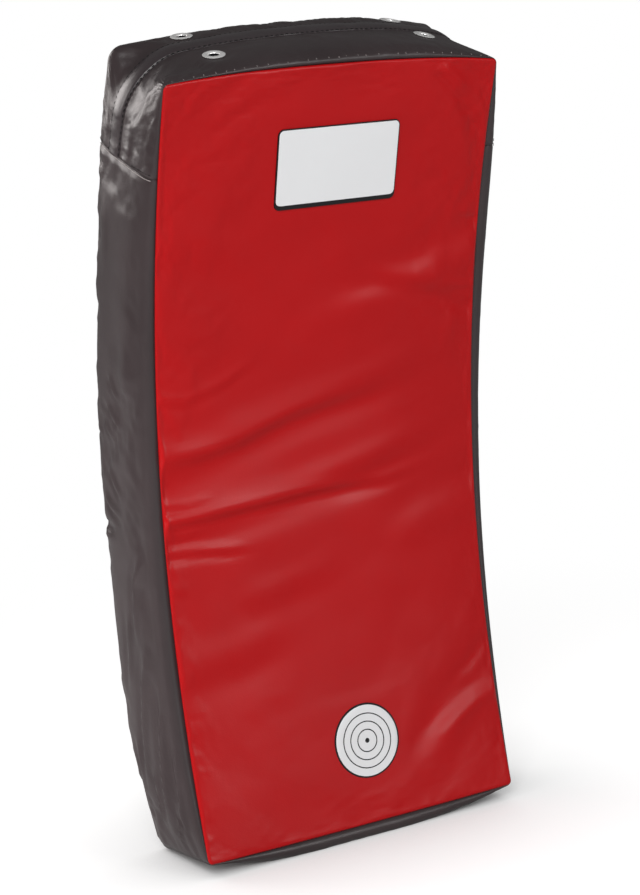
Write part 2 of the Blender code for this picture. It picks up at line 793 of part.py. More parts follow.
def slider_frames():
    """The slider's place at rest, with X down the run, Y to the rear and Z outwards, and its run's centre."""
    drops = [SEAM_DROP - SLIDER_SEAM_CLEARANCE - SLIDER_TRAVEL * share for share in (0, 0.5, 1)]
    low, middle, high = [point_at(right_station(drop, ZIP_DEPTH), ZIP_DEPTH) for drop in drops]
    first = middle - low
    second = high - low
    rear = second.cross(normal_at(right_station(drops[1], ZIP_DEPTH), ZIP_DEPTH)).normalized()
    first -= rear * first.dot(rear)
    second -= rear * second.dot(rear)
    plane = first.cross(second)
    to_centre = plane.cross(first) * second.length_squared + second.cross(plane) * first.length_squared
    centre = low + to_centre / (2 * plane.length_squared)
    out = (low - centre).normalized()
    if rear.y < 0:
        rear.negate()
    down = rear.cross(out)
    turn = Matrix((down, rear, out)).transposed().to_4x4()
    return Matrix.Translation(low) @ turn, Matrix.Translation(centre) @ turn


def build_slider(metal):
    frame, run_centre = slider_frames()
    half_length = SLIDER_LENGTH / 2
    half_width = SLIDER_WIDTH / 2
    top_low = TEETH_TOP + SLIDER_RUN_GAP
    top_high = top_low + SLIDER_PLATE
    bottom_high = TEETH_BOTTOM - SLIDER_RUN_GAP
    bottom_low = bottom_high - SLIDER_PLATE
    roof_low = top_high + CROWN_OPENING
    roof_high = roof_low + CROWN_ROOF
    leg_out = CROWN_HALF_OPENING + CROWN_LEG
    sink = SLIDER_PLATE / 3
    profile = [
        ((-leg_out, top_high - sink), (-CROWN_HALF_OPENING, top_high)),
        ((leg_out, top_high - sink), (CROWN_HALF_OPENING, top_high)),
        ((leg_out, roof_high - CROWN_ROOF / 2), (CROWN_HALF_OPENING, roof_low)),
        ((leg_out - CROWN_ROOF / 2, roof_high), (CROWN_HALF_OPENING / 2, roof_low)),
        ((-leg_out + CROWN_ROOF / 2, roof_high), (-CROWN_HALF_OPENING / 2, roof_low)),
        ((-leg_out, roof_high - CROWN_ROOF / 2), (-CROWN_HALF_OPENING, roof_low)),
    ]
    crown = extruded([p[0] for p in profile], [p[1] for p in profile], -CROWN_WIDTH / 2, CROWN_WIDTH / 2)
    bmesh.ops.rotate(crown, verts=crown.verts, matrix=Matrix.Rotation(math.pi / 2, 3, "X"))
    half_bridge = SLIDER_BRIDGE / 2
    half_bridge_length = SLIDER_BRIDGE_LENGTH / 2
    top_plate = box((-half_length, -half_width, top_low), (half_length, half_width, top_high))
    bottom_plate = box((-half_length, -half_width, bottom_low), (half_length, half_width, bottom_high))
    bridge = box((-half_bridge_length, -half_bridge, bottom_low + sink),
                 (half_bridge_length, half_bridge, top_high - sink))
    slider = finish(top_plate, "zip_slider", metal)
    for index, bm in enumerate((bridge, bottom_plate, crown)):
        extra = finish(bm, f"slider_piece_{index}", metal)
        extra.hide_render = True
        extra.display_type = "WIRE"
        extra.matrix_world = frame
        union = slider.modifiers.new(f"join_{index}", "BOOLEAN")
        union.operation = "UNION"
        union.object = extra
    pivot = bpy.data.objects.new("zip_slider_run_centre", None)
    pivot.matrix_world = run_centre
    bpy.context.scene.collection.objects.link(pivot)
    slider.parent = pivot
    slider.matrix_local = run_centre.inverted() @ frame
    return frame, top_high + CROWN_OPENING / 2


def build_pull_tab(metal, frame, bar_level):
    half_bar = TAB_BAR / 2
    half_width = TAB_WIDTH / 2
    half_window = CROWN_WIDTH / 2 + TAB_CLEARANCE
    tip = TAB_LENGTH - half_bar
    shoulder = tip - half_width
    window_end = half_bar + TAB_WINDOW
    window_shoulder = half_bar + TAB_WINDOW * TAB_TAPER
    neck = half_width * TAB_TAPER
    outline = [
        (-half_bar, -neck), (shoulder, -half_width), (tip, -half_width / 2),
        (tip, half_width / 2), (shoulder, half_width), (-half_bar, neck),
    ]
    hole = [
        (half_bar, -half_window), (window_shoulder, -half_window), (window_end, -half_window / 2),
        (window_end, half_window / 2), (window_shoulder, half_window), (half_bar, half_window),
    ]
    tab = finish(extruded(outline, hole, -TAB_THICKNESS / 2, TAB_THICKNESS / 2), "zip_pull_tab", metal)
    tab.matrix_world = frame @ Matrix.Translation((0, 0, bar_level))
    return tab


def eyelet_spots():
    """The row, side, x and depth of each eyelet."""
    flap_near = ZIP_DEPTH - FLAP_WIDTH / 2
    flap_far = ZIP_DEPTH + FLAP_WIDTH / 2
    spots = []
    for side, (share, clearance) in FRONT_EYELETS.items():
        spots.append(("front", side, share * WIDTH, flap_near - clearance - EYELET_FLANGE))
    for side, share in REAR_EYELETS.items():
        spots.append(("rear", side, share * WIDTH, (flap_far + DEPTH) / 2))
    return spots


def build_eyelets(metal, strips):
    flange = EYELET_FLANGE
    top = EYELET_WALL_LEVEL + EYELET_HEIGHT
    foot = -SKIN - GAP - WASHER_DROP - WASHER_THICKNESS - GAP
    profile = [
        (EYELET_HOLE, foot), (EYELET_HOLE, top - EYELET_LIP), (EYELET_HOLE + EYELET_LIP, top),
        (flange - EYELET_ROUND, top), (flange - EYELET_EDGE, top - EYELET_EDGE / 2),
        (flange, EYELET_WALL_LEVEL), (EYELET_BARREL, EYELET_WALL_LEVEL), (EYELET_BARREL, foot),
    ]
    hole = EYELET_BARREL + GAP
    washer_top = -SKIN - GAP - WASHER_DROP
    washer = [
        (hole, washer_top - WASHER_THICKNESS), (hole, washer_top),
        (WASHER_RADIUS, washer_top), (WASHER_RADIUS, washer_top - WASHER_THICKNESS),
    ]
    reach = 4 * SKIN
    for row, side, x, depth in eyelet_spots():
        frame = local_frame(top_station(x, depth), depth)
        ring = finish(lathe(profile), f"eyelet_{row}_{side}", metal)
        ring.matrix_world = frame
        under = finish(lathe(washer), f"washer_{row}_{side}", metal)
        under.matrix_world = frame
        cut_with(strips[row], cylinder(hole, -reach, reach), frame, f"eyelet_cut_{row}_{side}")


def build_patches(white, black):
    backing_near = -PATCH_CLEARANCE - LABEL_BACKING
    drop = LABEL_DROP_EDGE
    size = (LABEL_SIZE[0], LABEL_SIZE[1] + drop)
    centre = (LABEL_CENTRE[0], LABEL_CENTRE[1] - drop / 2)
    sewn_patch("label_backing", centre, size, LABEL_CORNER, backing_near, -PATCH_CLEARANCE, black)
    face_size = (LABEL_SIZE[0] - 2 * LABEL_RIM, LABEL_SIZE[1] - 2 * LABEL_RIM)
    sewn_patch("label_face", LABEL_CENTRE, face_size, LABEL_CORNER - LABEL_RIM,
               backing_near - GAP - LABEL_FACE, backing_near - GAP, white)
    mark_near = -PATCH_CLEARANCE - MARK_THICKNESS
    disc_patch("target_patch", MARK_CENTRE, MARK_RADIUS, mark_near, -PATCH_CLEARANCE, white)


def build_handle(name, v, webbing, padding, black):
    half_span = HANDLE_SPAN / 2
    patch_middle = half_span + PATCH_SIZE[0] / 2 - STRAP_FOOT_RAMP
    pivot = back_point(half_span, STRAP_FOOT_LEVEL, v)
    pivot.x = 0
    grip_half = GRIP_LENGTH / 2
    spots = [grip_half * (1 - 2 * k / GRIP_STEPS) for k in range(GRIP_STEPS + 1)]
    legs = [half_span + (grip_half - half_span) * k / LEG_STEPS for k in range(LEG_STEPS)]
    path = [(x, strap_level(x)) for x in legs + spots + [-x for x in reversed(legs)]]
    finish(ribbon(path, v, STRAP_WIDTH, STRAP_THICKNESS), f"{name}_strap", webbing, pivot)
    hole = (STRAP_WIDTH + 2 * GRIP_CLEARANCE, STRAP_THICKNESS + 2 * GRIP_CLEARANCE)
    grip = sleeve([(x, strap_level(x)) for x in spots], v, GRIP_WIDTH, GRIP_THICKNESS, *hole)
    finish(grip, f"{name}_grip", padding, pivot)
    patch_far = DEPTH + GAP + SKIN
    sewn_level = GAP + SKIN + SEWN_CLEARANCE + STRAP_THICKNESS / 2
    for side, sign in (("left", -1), ("right", 1)):
        centre = (sign * patch_middle, v)
        sewn_patch(f"{name}_patch_{side}", centre, PATCH_SIZE, PATCH_CORNER, DEPTH + GAP, patch_far, black)
        inner = half_span + STRAP_END_GAP
        shares = [k / RAMP_STEPS for k in range(RAMP_STEPS + 1)]
        fall = sewn_level - STRAP_FOOT_LEVEL
        end_path = [(inner + STRAP_FOOT_RAMP * s, STRAP_FOOT_LEVEL + fall * smooth(s)) for s in shares]
        sewn_start = inner + STRAP_FOOT_RAMP
        end_path += [(sewn_start + STRAP_SEWN_LENGTH * s, sewn_level) for s in shares[1:]]
        end_path = [(sign * x, level) for x, level in end_path]
        if sign > 0:
            end_path.reverse()
        finish(ribbon(end_path, v, STRAP_WIDTH, STRAP_THICKNESS), f"{name}_strap_{side}_end", webbing)


def clear_scene():
    for old in list(bpy.data.objects):
        bpy.data.objects.remove(old)


def main():
    clear_scene()
    red = material("red_vinyl", RED, 0.38)
    black = material("black_vinyl", BLACK, 0.42)
    white = material("white_vinyl", WHITE, 0.45)
    firm = material("firm_foam", FOAM_BLUE, 0.95)
    soft = material("soft_foam", FOAM_GREY, 0.95)
    metal = material("nickel", NICKEL, 0.28, 1.0)
    webbing = material("webbing", WEBBING, 0.85)
    padding = material("grip_vinyl", BLACK, 0.50)
    tape = material("zip_tape", WEBBING, 0.85)
    teeth = material("zip_teeth", BLACK, 0.35)
    strips = build_cover(red, black)
    foam_start = SKIN + FOAM_FACE_GAP
    strike_end = foam_start + STRIKE_FOAM
    core_end = strike_end + GAP + CORE_FOAM
    foam_layer("strike_foam", foam_start, strike_end, firm)
    foam_layer("core_foam", strike_end + GAP, core_end, soft)
    foam_layer("back_foam", core_end + GAP, DEPTH - foam_start, firm)
    build_closure(black, teeth, tape)
    frame, bar_level = build_slider(metal)
    build_pull_tab(metal, frame, bar_level)
    build_eyelets(metal, strips)
    build_patches(white, black)
    for name, v in HANDLE_HEIGHTS.items():
        build_handle(name, v, webbing, padding, black)


main()
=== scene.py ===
"""The looks of the curved strike shield: cover, closure, eyelets, plates and grips, with lamps and camera."""

import math

import bmesh
import bpy
import numpy as np
from mathutils import Matrix, Vector


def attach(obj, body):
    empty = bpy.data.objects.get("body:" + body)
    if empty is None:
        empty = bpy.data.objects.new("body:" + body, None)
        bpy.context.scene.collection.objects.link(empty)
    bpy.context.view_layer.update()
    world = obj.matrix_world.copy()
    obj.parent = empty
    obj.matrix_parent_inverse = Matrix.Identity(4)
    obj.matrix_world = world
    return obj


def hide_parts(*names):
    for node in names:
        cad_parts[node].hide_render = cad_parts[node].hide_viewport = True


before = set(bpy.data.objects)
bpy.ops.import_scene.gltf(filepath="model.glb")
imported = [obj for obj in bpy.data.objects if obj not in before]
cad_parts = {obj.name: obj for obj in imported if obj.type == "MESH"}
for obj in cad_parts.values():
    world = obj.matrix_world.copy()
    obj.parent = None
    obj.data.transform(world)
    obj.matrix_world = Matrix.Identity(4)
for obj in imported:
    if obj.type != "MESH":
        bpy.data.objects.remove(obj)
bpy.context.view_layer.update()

# The body's sizes in metres, the same as in the solid model
WIDTH = 0.353
HEIGHT = 0.750
DEPTH = 0.120
FRONT_SAG = 0.061
REAR_SAG = 0.058
TOP_OVERHANG = 0.030
BOTTOM_OVERHANG = 0.026
FRONT_CORNER = 0.005
REAR_CORNER = 0.012
LEFT_CORNER_SWELL = 0.040
RIGHT_CORNER_SWELL = 0.018
CORNER_RISE = 0.50
CORNER_FALL = 0.25
SIDE_BULGE = 0.017
LEFT_TILT = -0.3
RIGHT_TILT = 0.6
TOP_ARCH = 0.0076
TOP_DOME = 0.0095
TOP_TILT = 0.3
BOTTOM_ARCH = 0.001
BELLY = 0.021
SWELL_POWER = 3.3
SIDE_FADE = 6
END_FADE = 2.5
FRONT_CROWN = 0.005
BACK_CROWN = 0.008
CROWN_POWER_ACROSS = 4
CROWN_POWER_ALONG = 6
LEAN = math.radians(6.0)
FRONT_LIFT = 0.015
SEAM_DROP = 0.086
SEAM_STATION = 0.9
EDGE = 0.0015
ZIP_DEPTH = DEPTH * 0.6333
FLAP_WIDTH = 0.0235
FLAP_RISE = 0.0018
FLAP_END_DROP = 0.024
FLAP_SEWN = 0.90
FRONT_EYELETS = ((-0.1080, 0.0410), (0.1240, 0.0520))
REAR_EYELETS = ((-0.1100, 0.1039), (0.1170, 0.1039))
LABEL_CENTRE = (0.007, 0.6635)
LABEL_SIZE = (0.131, 0.074)
LABEL_CORNER = 0.006
LABEL_DROP_EDGE = 0.003
MARK_CENTRE = (0.0145, 0.0805)
MARK_RADIUS = 0.037
HANDLE_HEIGHTS = {"upper": 0.520, "lower": 0.255}
HANDLE_SPAN = 0.170
STRAP_WIDTH = 0.038
STRAP_THICKNESS = 0.0025
STRAP_RISE = 0.046
STRAP_RISE_RUN = 0.036
STRAP_FOOT_LEVEL = 0.0100
STRAP_FOOT_RAMP = 0.016
STRAP_SEWN_LENGTH = 0.034
GRIP_LENGTH = 0.092
GRIP_WIDTH = 0.048
GRIP_THICKNESS = 0.020
GRIP_SQUARE = 2.6
GRIP_END_NARROWING = 0.09
GRIP_END_THINNING = 0.42
GRIP_SEAM_DIP = 0.0014
GRIP_SEAM_TURN = 0.10
GRIP_TUCK_AT = 0.86
GRIP_TUCK_DIP = 0.0012
GRIP_TUCK_WIDTH = 0.035
PATCH_SIZE = (0.062, 0.068)
PATCH_CORNER = 0.008
LEFT, TOP_LEFT, TOP, TOP_RIGHT, RIGHT, BOTTOM_RIGHT, BOTTOM, BOTTOM_LEFT = range(8)
LEFT_SEAM = SEAM_STATION
RIGHT_SEAM = 5 - SEAM_STATION

# The cover's skin, and the places where its folds calm down
FACE_THICKNESS = 0.0009
FLAP_THICKNESS = 0.0008
SKIRT_INSET = 0.0016
SKIRT_DEPTH = 0.0065
FACE_GROW = 0.006
LABEL_CALM = (0.140, 0.085)
MARK_CALM = (0.070, 0.070)
HANDLE_CALM = (0.280, 0.080)
EYELET_HOLE = 0.0068
EYELET_CALM = 0.011
EYELET_FADE = 0.012
GUSSET_GAP = 0.005
SEAM_FADE = 0.004
CROSS_SEAM_DIP = 0.0006
FLAP_CALM = 0.0105
FLAP_CALM_FADE = 0.010
RIGHT_CALM = 0.75
RIGHT_CALM_START = 0.36
RIGHT_CALM_FADE = 0.06
TOP_CORNER_RUN = 0.074
FOOT_CORNER_RUN = 0.024
SEAM_CUT = 0.008
TOP_RUN = 2 * SEAM_DROP + WIDTH - SEAM_CUT

# Levels of what lies on the cover
FLAP_LEVEL = 0.0006
FLAP_SEAM_DIP = 0.0011
FLAP_SEAM_WIDTH = 0.055
BACKING_LEVELS = (0.0, 0.0013)
LABEL_LEVELS = (0.0012, 0.0019)
LABEL_RIM = 0.0013
SCORE_EDGE_LEVELS = (0.0, 0.0006)
SCORE_LEVELS = (0.0006, 0.0010)
SCORE_PRINT_LEVELS = (0.0010, 0.00115)
SCORE_EDGE = 0.0018
SCORE_RINGS = (0.0275, 0.0195, 0.0115)
SCORE_LINE = 0.0011
SCORE_DOT = 0.0024
PATCH_LEVELS = (0.0001, 0.0016)
PATCH_STITCH_LEVEL = 0.0017
PATCH_STITCH_INSET = 0.004
STRAP_SEWN_LEVEL = 0.0021 + STRAP_THICKNESS / 2
STRAP_GAP = 0.0006
BOX_INSET = 0.003
BOX_MARGIN = 0.004

# Radius and level along the edge of a ring's section, and of the near-black cup under its hole, which paints
# the shade inside the hole
EYELET_RING = (
    (0.0051, -0.0004), (0.0052, 0.0001), (0.0055, 0.0006), (0.0062, 0.0010), (0.0072, 0.0012),
    (0.0084, 0.0012), (0.0096, 0.0010), (0.0104, 0.0007), (0.0108, 0.0004), (0.0104, 0.0001),
    (0.0062, 0.0001), (0.0056, -0.0004),
)
EYELET_SHADE_CUP = (
    (0.0002, -0.0042), (0.0050, -0.0042), (0.0052, -0.0005), (0.0050, -0.0005), (0.0047, -0.0038),
    (0.0002, -0.0038),
)

# Half of a band's rounded section, as shares of its half width and half thickness
SELVEDGE = ((0.90, -1.0), (0.97, -0.75), (1.0, 0.0), (0.97, 0.75), (0.90, 1.0))

# Inside: the foam's gap to the cover, and the zip's teeth
FOAM_SIDE_GAP = 0.006
FOAM_FOOT_GAP = 0.012
FOAM_TOP_GAP = 0.010
FOAM_CORNER = 0.050
FOAM_GROUND_GAP = 0.005
TOOTH_PITCH = 0.0016
TOOTH_SIZE = (TOOTH_PITCH * 0.62, 0.0022, 0.0019)
TOOTH_TIP = (0.75, 1.0, 0.8)
TOOTH_OFFSET = 0.0018
TOOTH_LEVEL = -0.0020
ZIP_END = 0.006

# The cloth that is relaxed before the folds are laid over it, and how much of its shape shows
CLOTH_START = 0.0004
CLOTH_FRAMES = 20
DRAPE_AT_FOOT = 0.20
DRAPE_MORE_ABOVE = 0.30
DRAPE_START = 0.22
DRAPE_RISE = 0.20
BACK_DRAPE = 0.7
GUSSET_DRAPE = 0.8
CLOTH = {
    "quality": 6,
    "mass": 0.25,
    "tension_stiffness": 25,
    "compression_stiffness": 25,
    "shear_stiffness": 8,
    "bending_stiffness": 0.35,
    "vertex_group_mass": "sewn",
    "use_pressure": True,
}

# The shape of folds: their gain, the shares of the length over which they fade, and where the valley lies
FRONT_FOLD_GAIN = 1.5
SIDE_FOLD_GAIN = 1.35
FOLD_FADE_START = 0.3
FOLD_FADE_END = 0.45
VALLEY_OFFSET = 1.5
PUCKER_LEAN = 0.35
PUCKER_START = 0.002
NOISE_CELLS = 64
NOISE_SPAN = (0.3, 0.7)
STITCH_JITTER = 0.05
THREAD_SIDES = 6
LATHE_STEPS = 48

# The stage: white paper, the light that it gives itself, and the lamps as
# (name, place, size, watts, tone, seen in gloss)
WHITE_PAPER = (1, 1, 1, 1)
FLOOR_TONE = (0.50, 0.50, 0.50, 1)
FLOOR_REACH = 14.0
FLOOR_SHADE_REACH = 0.22
FLOOR_LIFT = 0.74
FLOOR_FADE = (0.45, 1.30)
FLOOR_SHINE = 0.25
WORLD_LIGHT = 0.14
LAMP_AIM = (0, 0, 0.4)
LAMPS = (
    ("key", (-1.5, -2.3, 1.9), (1.3, 1.3), 62, (1, 1, 1), True),
    ("front_right", (0.9, -2.5, 0.9), (0.8, 1.2), 22, (1, 1, 1), True),
    ("card_behind", (-1.15, 1.35, 0.10), (1.1, 0.7), 0.5, (1, 0.93, 0.92), True),
    ("sheet_above", (-0.95, 1.60, 1.40), (1.2, 0.9), 17, (1, 0.95, 0.93), True),
    ("low_left", (-1.0, 0.05, 0.06), (0.6, 0.15), 8, (1, 0.92, 0.91), False),
)

# The camera that the photograph was taken with, in the same frame
CAMERA_PLACE = (-0.9642, -1.86712, 0.71862)
CAMERA_RIGHT = (0.874711, -0.475952, -0.091376)
CAMERA_UP = (0.152596, 0.09152, 0.984042)
CAMERA_BACK = (-0.459994, -0.874696, 0.152682)
CAMERA_LENS = 84.95
CAMERA_SENSOR = 36.0

# Folds of the front: line of (x, v), width, height, valley, starts at an edge
FRONT_FOLDS = (
    ([(-0.176, 0.333), (-0.123, 0.336), (-0.086, 0.338), (-0.010, 0.342), (0.066, 0.340), (0.149, 0.354)],
     0.0062, 0.0015, 0.75, True),
    ([(-0.176, 0.395), (-0.135, 0.397), (-0.097, 0.403), (-0.060, 0.416), (-0.026, 0.425), (0.030, 0.433),
      (0.088, 0.437)], 0.0075, 0.0011, 0.6, True),
    ([(-0.176, 0.302), (-0.137, 0.300), (-0.113, 0.297), (-0.078, 0.295)], 0.0042, 0.0011, 0.8, True),
    ([(-0.176, 0.455), (-0.150, 0.450), (-0.110, 0.462), (-0.060, 0.490)], 0.0050, 0.0007, 0.6, True),
    ([(-0.176, 0.349), (-0.150, 0.347), (-0.118, 0.352)], 0.0032, 0.0008, 0.7, True),
    ([(-0.176, 0.318), (-0.152, 0.317), (-0.128, 0.319)], 0.0028, 0.0007, 0.7, True),
    ([(0.170, 0.502), (0.134, 0.516), (0.098, 0.528), (0.056, 0.538), (0.010, 0.534)],
     0.0100, -0.0016, 0.5, True),
    ([(0.176, 0.520), (0.160, 0.521), (0.140, 0.523)], 0.0030, -0.0009, 0.6, True),
    ([(0.176, 0.592), (0.165, 0.594), (0.148, 0.598)], 0.0030, -0.0009, 0.6, True),
    ([(0.110, 0.752), (0.130, 0.735), (0.152, 0.716)], 0.0060, 0.0014, 0.7, False),
    ([(0.130, 0.728), (0.150, 0.702), (0.172, 0.668)], 0.0085, -0.0016, 0.6, False),
    ([(0.176, 0.100), (0.150, 0.094), (0.118, 0.078), (0.078, 0.058)], 0.0085, 0.0009, 0.7, True),
    ([(0.172, 0.140), (0.150, 0.122), (0.120, 0.112)], 0.0070, 0.0007, 0.6, True),
    ([(-0.120, 0.240), (-0.060, 0.252), (0.020, 0.262)], 0.0140, 0.0007, 0.5, False),
)

# Broad soft folds of the front: line of (x, v), width, height
FRONT_SWELLS = (
    ([(-0.176, 0.392), (-0.120, 0.404), (-0.040, 0.428), (0.060, 0.448), (0.150, 0.470)], 0.016, 0.0026),
    ([(-0.176, 0.330), (-0.100, 0.340), (0.000, 0.352), (0.100, 0.378), (0.170, 0.398)], 0.015, 0.0028),
    ([(0.176, 0.560), (0.120, 0.540), (0.040, 0.520), (-0.040, 0.500)], 0.018, 0.0020),
    ([(0.176, 0.300), (0.120, 0.290), (0.050, 0.270)], 0.020, 0.0016),
    ([(0.176, 0.110), (0.130, 0.085), (0.090, 0.052), (0.060, 0.020)], 0.016, 0.0018),
    ([(-0.176, 0.610), (-0.130, 0.600), (-0.060, 0.575)], 0.018, 0.0012),
    ([(-0.176, 0.190), (-0.120, 0.196), (-0.040, 0.214)], 0.018, 0.0012),
    ([(0.176, 0.690), (0.150, 0.712), (0.110, 0.742)], 0.014, 0.0016),
)

# Folds of the left side: line of (share of the height, depth), width, height, valley
LEFT_FOLDS = (
    ([(0.628, 0.070), (0.606, 0.058), (0.584, 0.045)], 0.0032, 0.0016, 0.8),
    ([(0.584, 0.080), (0.568, 0.064), (0.556, 0.046)], 0.0034, 0.0018, 0.8),
    ([(0.560, 0.095), (0.545, 0.080), (0.535, 0.066)], 0.0030, 0.0014, 0.8),
    ([(0.498, 0.084), (0.480, 0.066), (0.462, 0.050)], 0.0034, 0.0019, 0.8),
    ([(0.462, 0.100), (0.447, 0.078), (0.438, 0.050)], 0.0040, 0.0021, 0.8),
    ([(0.418, 0.114), (0.414, 0.092), (0.420, 0.070)], 0.0046, -0.0030, 0.5),
    ([(0.402, 0.020), (0.360, 0.036), (0.300, 0.044), (0.262, 0.040)], 0.0050, 0.0022, 0.7),
    ([(0.318, 0.060), (0.250, 0.066), (0.190, 0.080)], 0.0055, 0.0017, 0.7),
    ([(0.292, 0.024), (0.200, 0.046), (0.110, 0.066), (0.030, 0.090)], 0.0060, 0.0026, 0.8),
    ([(0.236, 0.012), (0.150, 0.022), (0.080, 0.036), (0.006, 0.060)], 0.0046, 0.0026, 0.8),
    ([(0.170, 0.006), (0.100, 0.012), (0.040, 0.020), (0.002, 0.036)], 0.0036, 0.0022, 0.8),
    ([(0.150, 0.078), (0.090, 0.084), (0.020, 0.104)], 0.0052, 0.0020, 0.7),
    ([(0.120, 0.050), (0.070, 0.056), (0.010, 0.076)], 0.0034, 0.0018, 0.8),
    ([(0.080, 0.020), (0.040, 0.028), (0.000, 0.048)], 0.0030, 0.0018, 0.8),
    ([(0.700, 0.030), (0.640, 0.034), (0.560, 0.028)], 0.0110, 0.0012, 0.5),
    ([(0.860, 0.086), (0.800, 0.080), (0.730, 0.084)], 0.0080, 0.0012, 0.5),
)

# Folds of the top: line of (run from the left cross seam, depth), width, height, valley
TOP_FOLDS = (
    ([(0.010, 0.020), (0.045, 0.030), (0.085, 0.034)], 0.0100, 0.0012, 0.4),
    ([(0.008, 0.046), (0.035, 0.050), (0.070, 0.046)], 0.0060, 0.0011, 0.5),
    ([(0.004, 0.012), (0.030, 0.010), (0.070, 0.006)], 0.0036, 0.0009, 0.6),
    ([(0.020, 0.092), (0.050, 0.098), (0.080, 0.104)], 0.0060, 0.0010, 0.6),
    ([(0.100, 0.046), (0.150, 0.050), (0.200, 0.050)], 0.0060, -0.0008, 0.4),
)


# Surfaces


def chord_ends(depth):
    share = np.clip(depth / DEPTH, 0, 1)
    return -BOTTOM_OVERHANG * share, HEIGHT + TOP_OVERHANG * share


def place(x, depth, v):
    """World points of the straight body's points, as an array whose last axis is x, y, z."""
    x, depth, v = np.broadcast_arrays(np.asarray(x, float), np.asarray(depth, float), np.asarray(v, float))
    share = np.clip(depth / DEPTH, 0, 1)
    low, high = chord_ends(depth)
    t = (2 * v - low - high) / (high - low)
    sag = FRONT_SAG + (REAR_SAG - FRONT_SAG) * share
    across = 1 - np.minimum(np.abs(2 * x / WIDTH), 1) ** CROWN_POWER_ACROSS
    along = 1 - np.minimum(np.abs(t), 1) ** CROWN_POWER_ALONG
    y = depth - DEPTH / 2 + sag * (1 - t * t)
    y = y - FRONT_CROWN * across * along * np.maximum(1 - 2 * share, 0)
    y = y + BACK_CROWN * across * along * np.maximum(2 * share - 1, 0)
    rise = FRONT_LIFT + DEPTH / 2 * math.sin(LEAN)
    leaned_y = y * math.cos(LEAN) - v * math.sin(LEAN)
    leaned_z = y * math.sin(LEAN) + v * math.cos(LEAN) + rise
    return np.stack([x, leaned_y, leaned_z], -1)


def smooth(value):
    value = np.clip(value, 0, 1)
    return value * value * (3 - 2 * value)


def corner_radius(depth, swell=0.0):
    """A corner's radius at a depth. The stuffed top corners round off by their swell between the seams."""
    radius = FRONT_CORNER + (REAR_CORNER - FRONT_CORNER) * np.clip(depth / DEPTH, 0, 1)
    share = (depth - EDGE) / (DEPTH - 2 * EDGE)
    return radius + swell * smooth(share / CORNER_RISE) * smooth((1 - share) / CORNER_FALL)


def outline(q, depth):
    """x and v of the outline at stations q, from 0 up the left side, over the top and back round to 8."""
    q, depth = np.broadcast_arrays(np.mod(np.asarray(q, float), 8), np.asarray(depth, float))
    part = np.floor(q).astype(int)
    share = q - part
    low, high = chord_ends(depth)
    half = WIDTH / 2
    foot_radius = corner_radius(depth)
    left_radius = corner_radius(depth, LEFT_CORNER_SWELL)
    right_radius = corner_radius(depth, RIGHT_CORNER_SWELL)
    on_left = (part == TOP_LEFT) | (part == BOTTOM_LEFT) | (part == LEFT)
    at_top = (part == TOP_LEFT) | (part == TOP_RIGHT)
    side = np.where(on_left, -1, 1)

    length = high - low - foot_radius - np.where(on_left, left_radius, right_radius)
    seam = (high - SEAM_DROP - low - foot_radius) / length
    up = np.where(part == LEFT, share, 1 - share)
    above = (up - SEAM_STATION) * (1 - seam) / (1 - SEAM_STATION)
    up = np.where(up <= SEAM_STATION, up * seam / SEAM_STATION, seam + above)
    side_v = low + foot_radius + up * length

    turn = share * math.pi / 2
    steep = (part == TOP_LEFT) | (part == BOTTOM_RIGHT)
    radius = np.where(at_top, np.where(on_left, left_radius, right_radius), foot_radius)
    corner_x = side * (half - radius + radius * np.where(steep, np.cos(turn), np.sin(turn)))
    reach = radius * np.where(steep, np.sin(turn), np.cos(turn))
    corner_v = np.where(at_top, high - radius + reach, low + radius - reach)

    straight = [(part == LEFT) | (part == RIGHT), part == TOP, part == BOTTOM]
    top_x = left_radius - half + share * (2 * half - left_radius - right_radius)
    foot_x = (1 - 2 * share) * (half - foot_radius)
    x = np.select(straight, [side * half, top_x, foot_x], corner_x)
    v = np.select(straight, [side_v, high, low], corner_v)
    push_x, push_v = swelled(x, v, low, high, depth)
    return x + push_x, v + push_v


def swelled(x, v, low, high, depth):
    """How far the stuffing pushes a point of the plain outline out, across and up."""
    u = np.clip((depth - EDGE) / (DEPTH - 2 * EDGE), 0, 1)
    swell = np.maximum(1 - np.abs(2 * u - 1) ** SWELL_POWER, 0) ** (1 / SWELL_POWER)
    across = x / (WIDTH / 2)
    f = np.clip(2 * (v - low) / (high - low) - 1, -1, 1)
    tilt = np.where(x < 0, LEFT_TILT, RIGHT_TILT)
    push_x = across * SIDE_BULGE * (1 + tilt * f) * (1 - np.abs(f) ** SIDE_FADE) * swell
    fade = 1 - np.minimum(np.abs(across), 1) ** END_FADE
    up = (TOP_ARCH + TOP_DOME * (1 + TOP_TILT * across) * swell) * fade
    down = -(BOTTOM_ARCH + BELLY * swell) * fade
    return push_x, np.where(v > (low + high) / 2, up, down)


def gusset(q, depth):
    x, v = outline(q, depth)
    return place(x, depth, v)


def normals_of(points):
    """Unit normals of a grid of points, along the cross product of its two directions."""
    along = np.gradient(points, axis=0)
    across = np.gradient(points, axis=1)
    normal = np.cross(along, across)
    return normal / np.maximum(np.linalg.norm(normal, axis=-1, keepdims=True), 1e-12)


def outward(q, depth):
    """Unit normals of the gusset at stations and depths."""
    nudge = 1e-4
    along = gusset(q + nudge, depth) - gusset(q - nudge, depth)
    across = gusset(q, depth + nudge) - gusset(q, depth - nudge)
    normal = np.cross(along, across)
    return normal / np.linalg.norm(normal, axis=-1, keepdims=True)


def top_station(x, depth):
    left = WIDTH / 2 - float(corner_radius(depth, LEFT_CORNER_SWELL))
    right = WIDTH / 2 - float(corner_radius(depth, RIGHT_CORNER_SWELL))
    return TOP + (x + left) / (left + right)


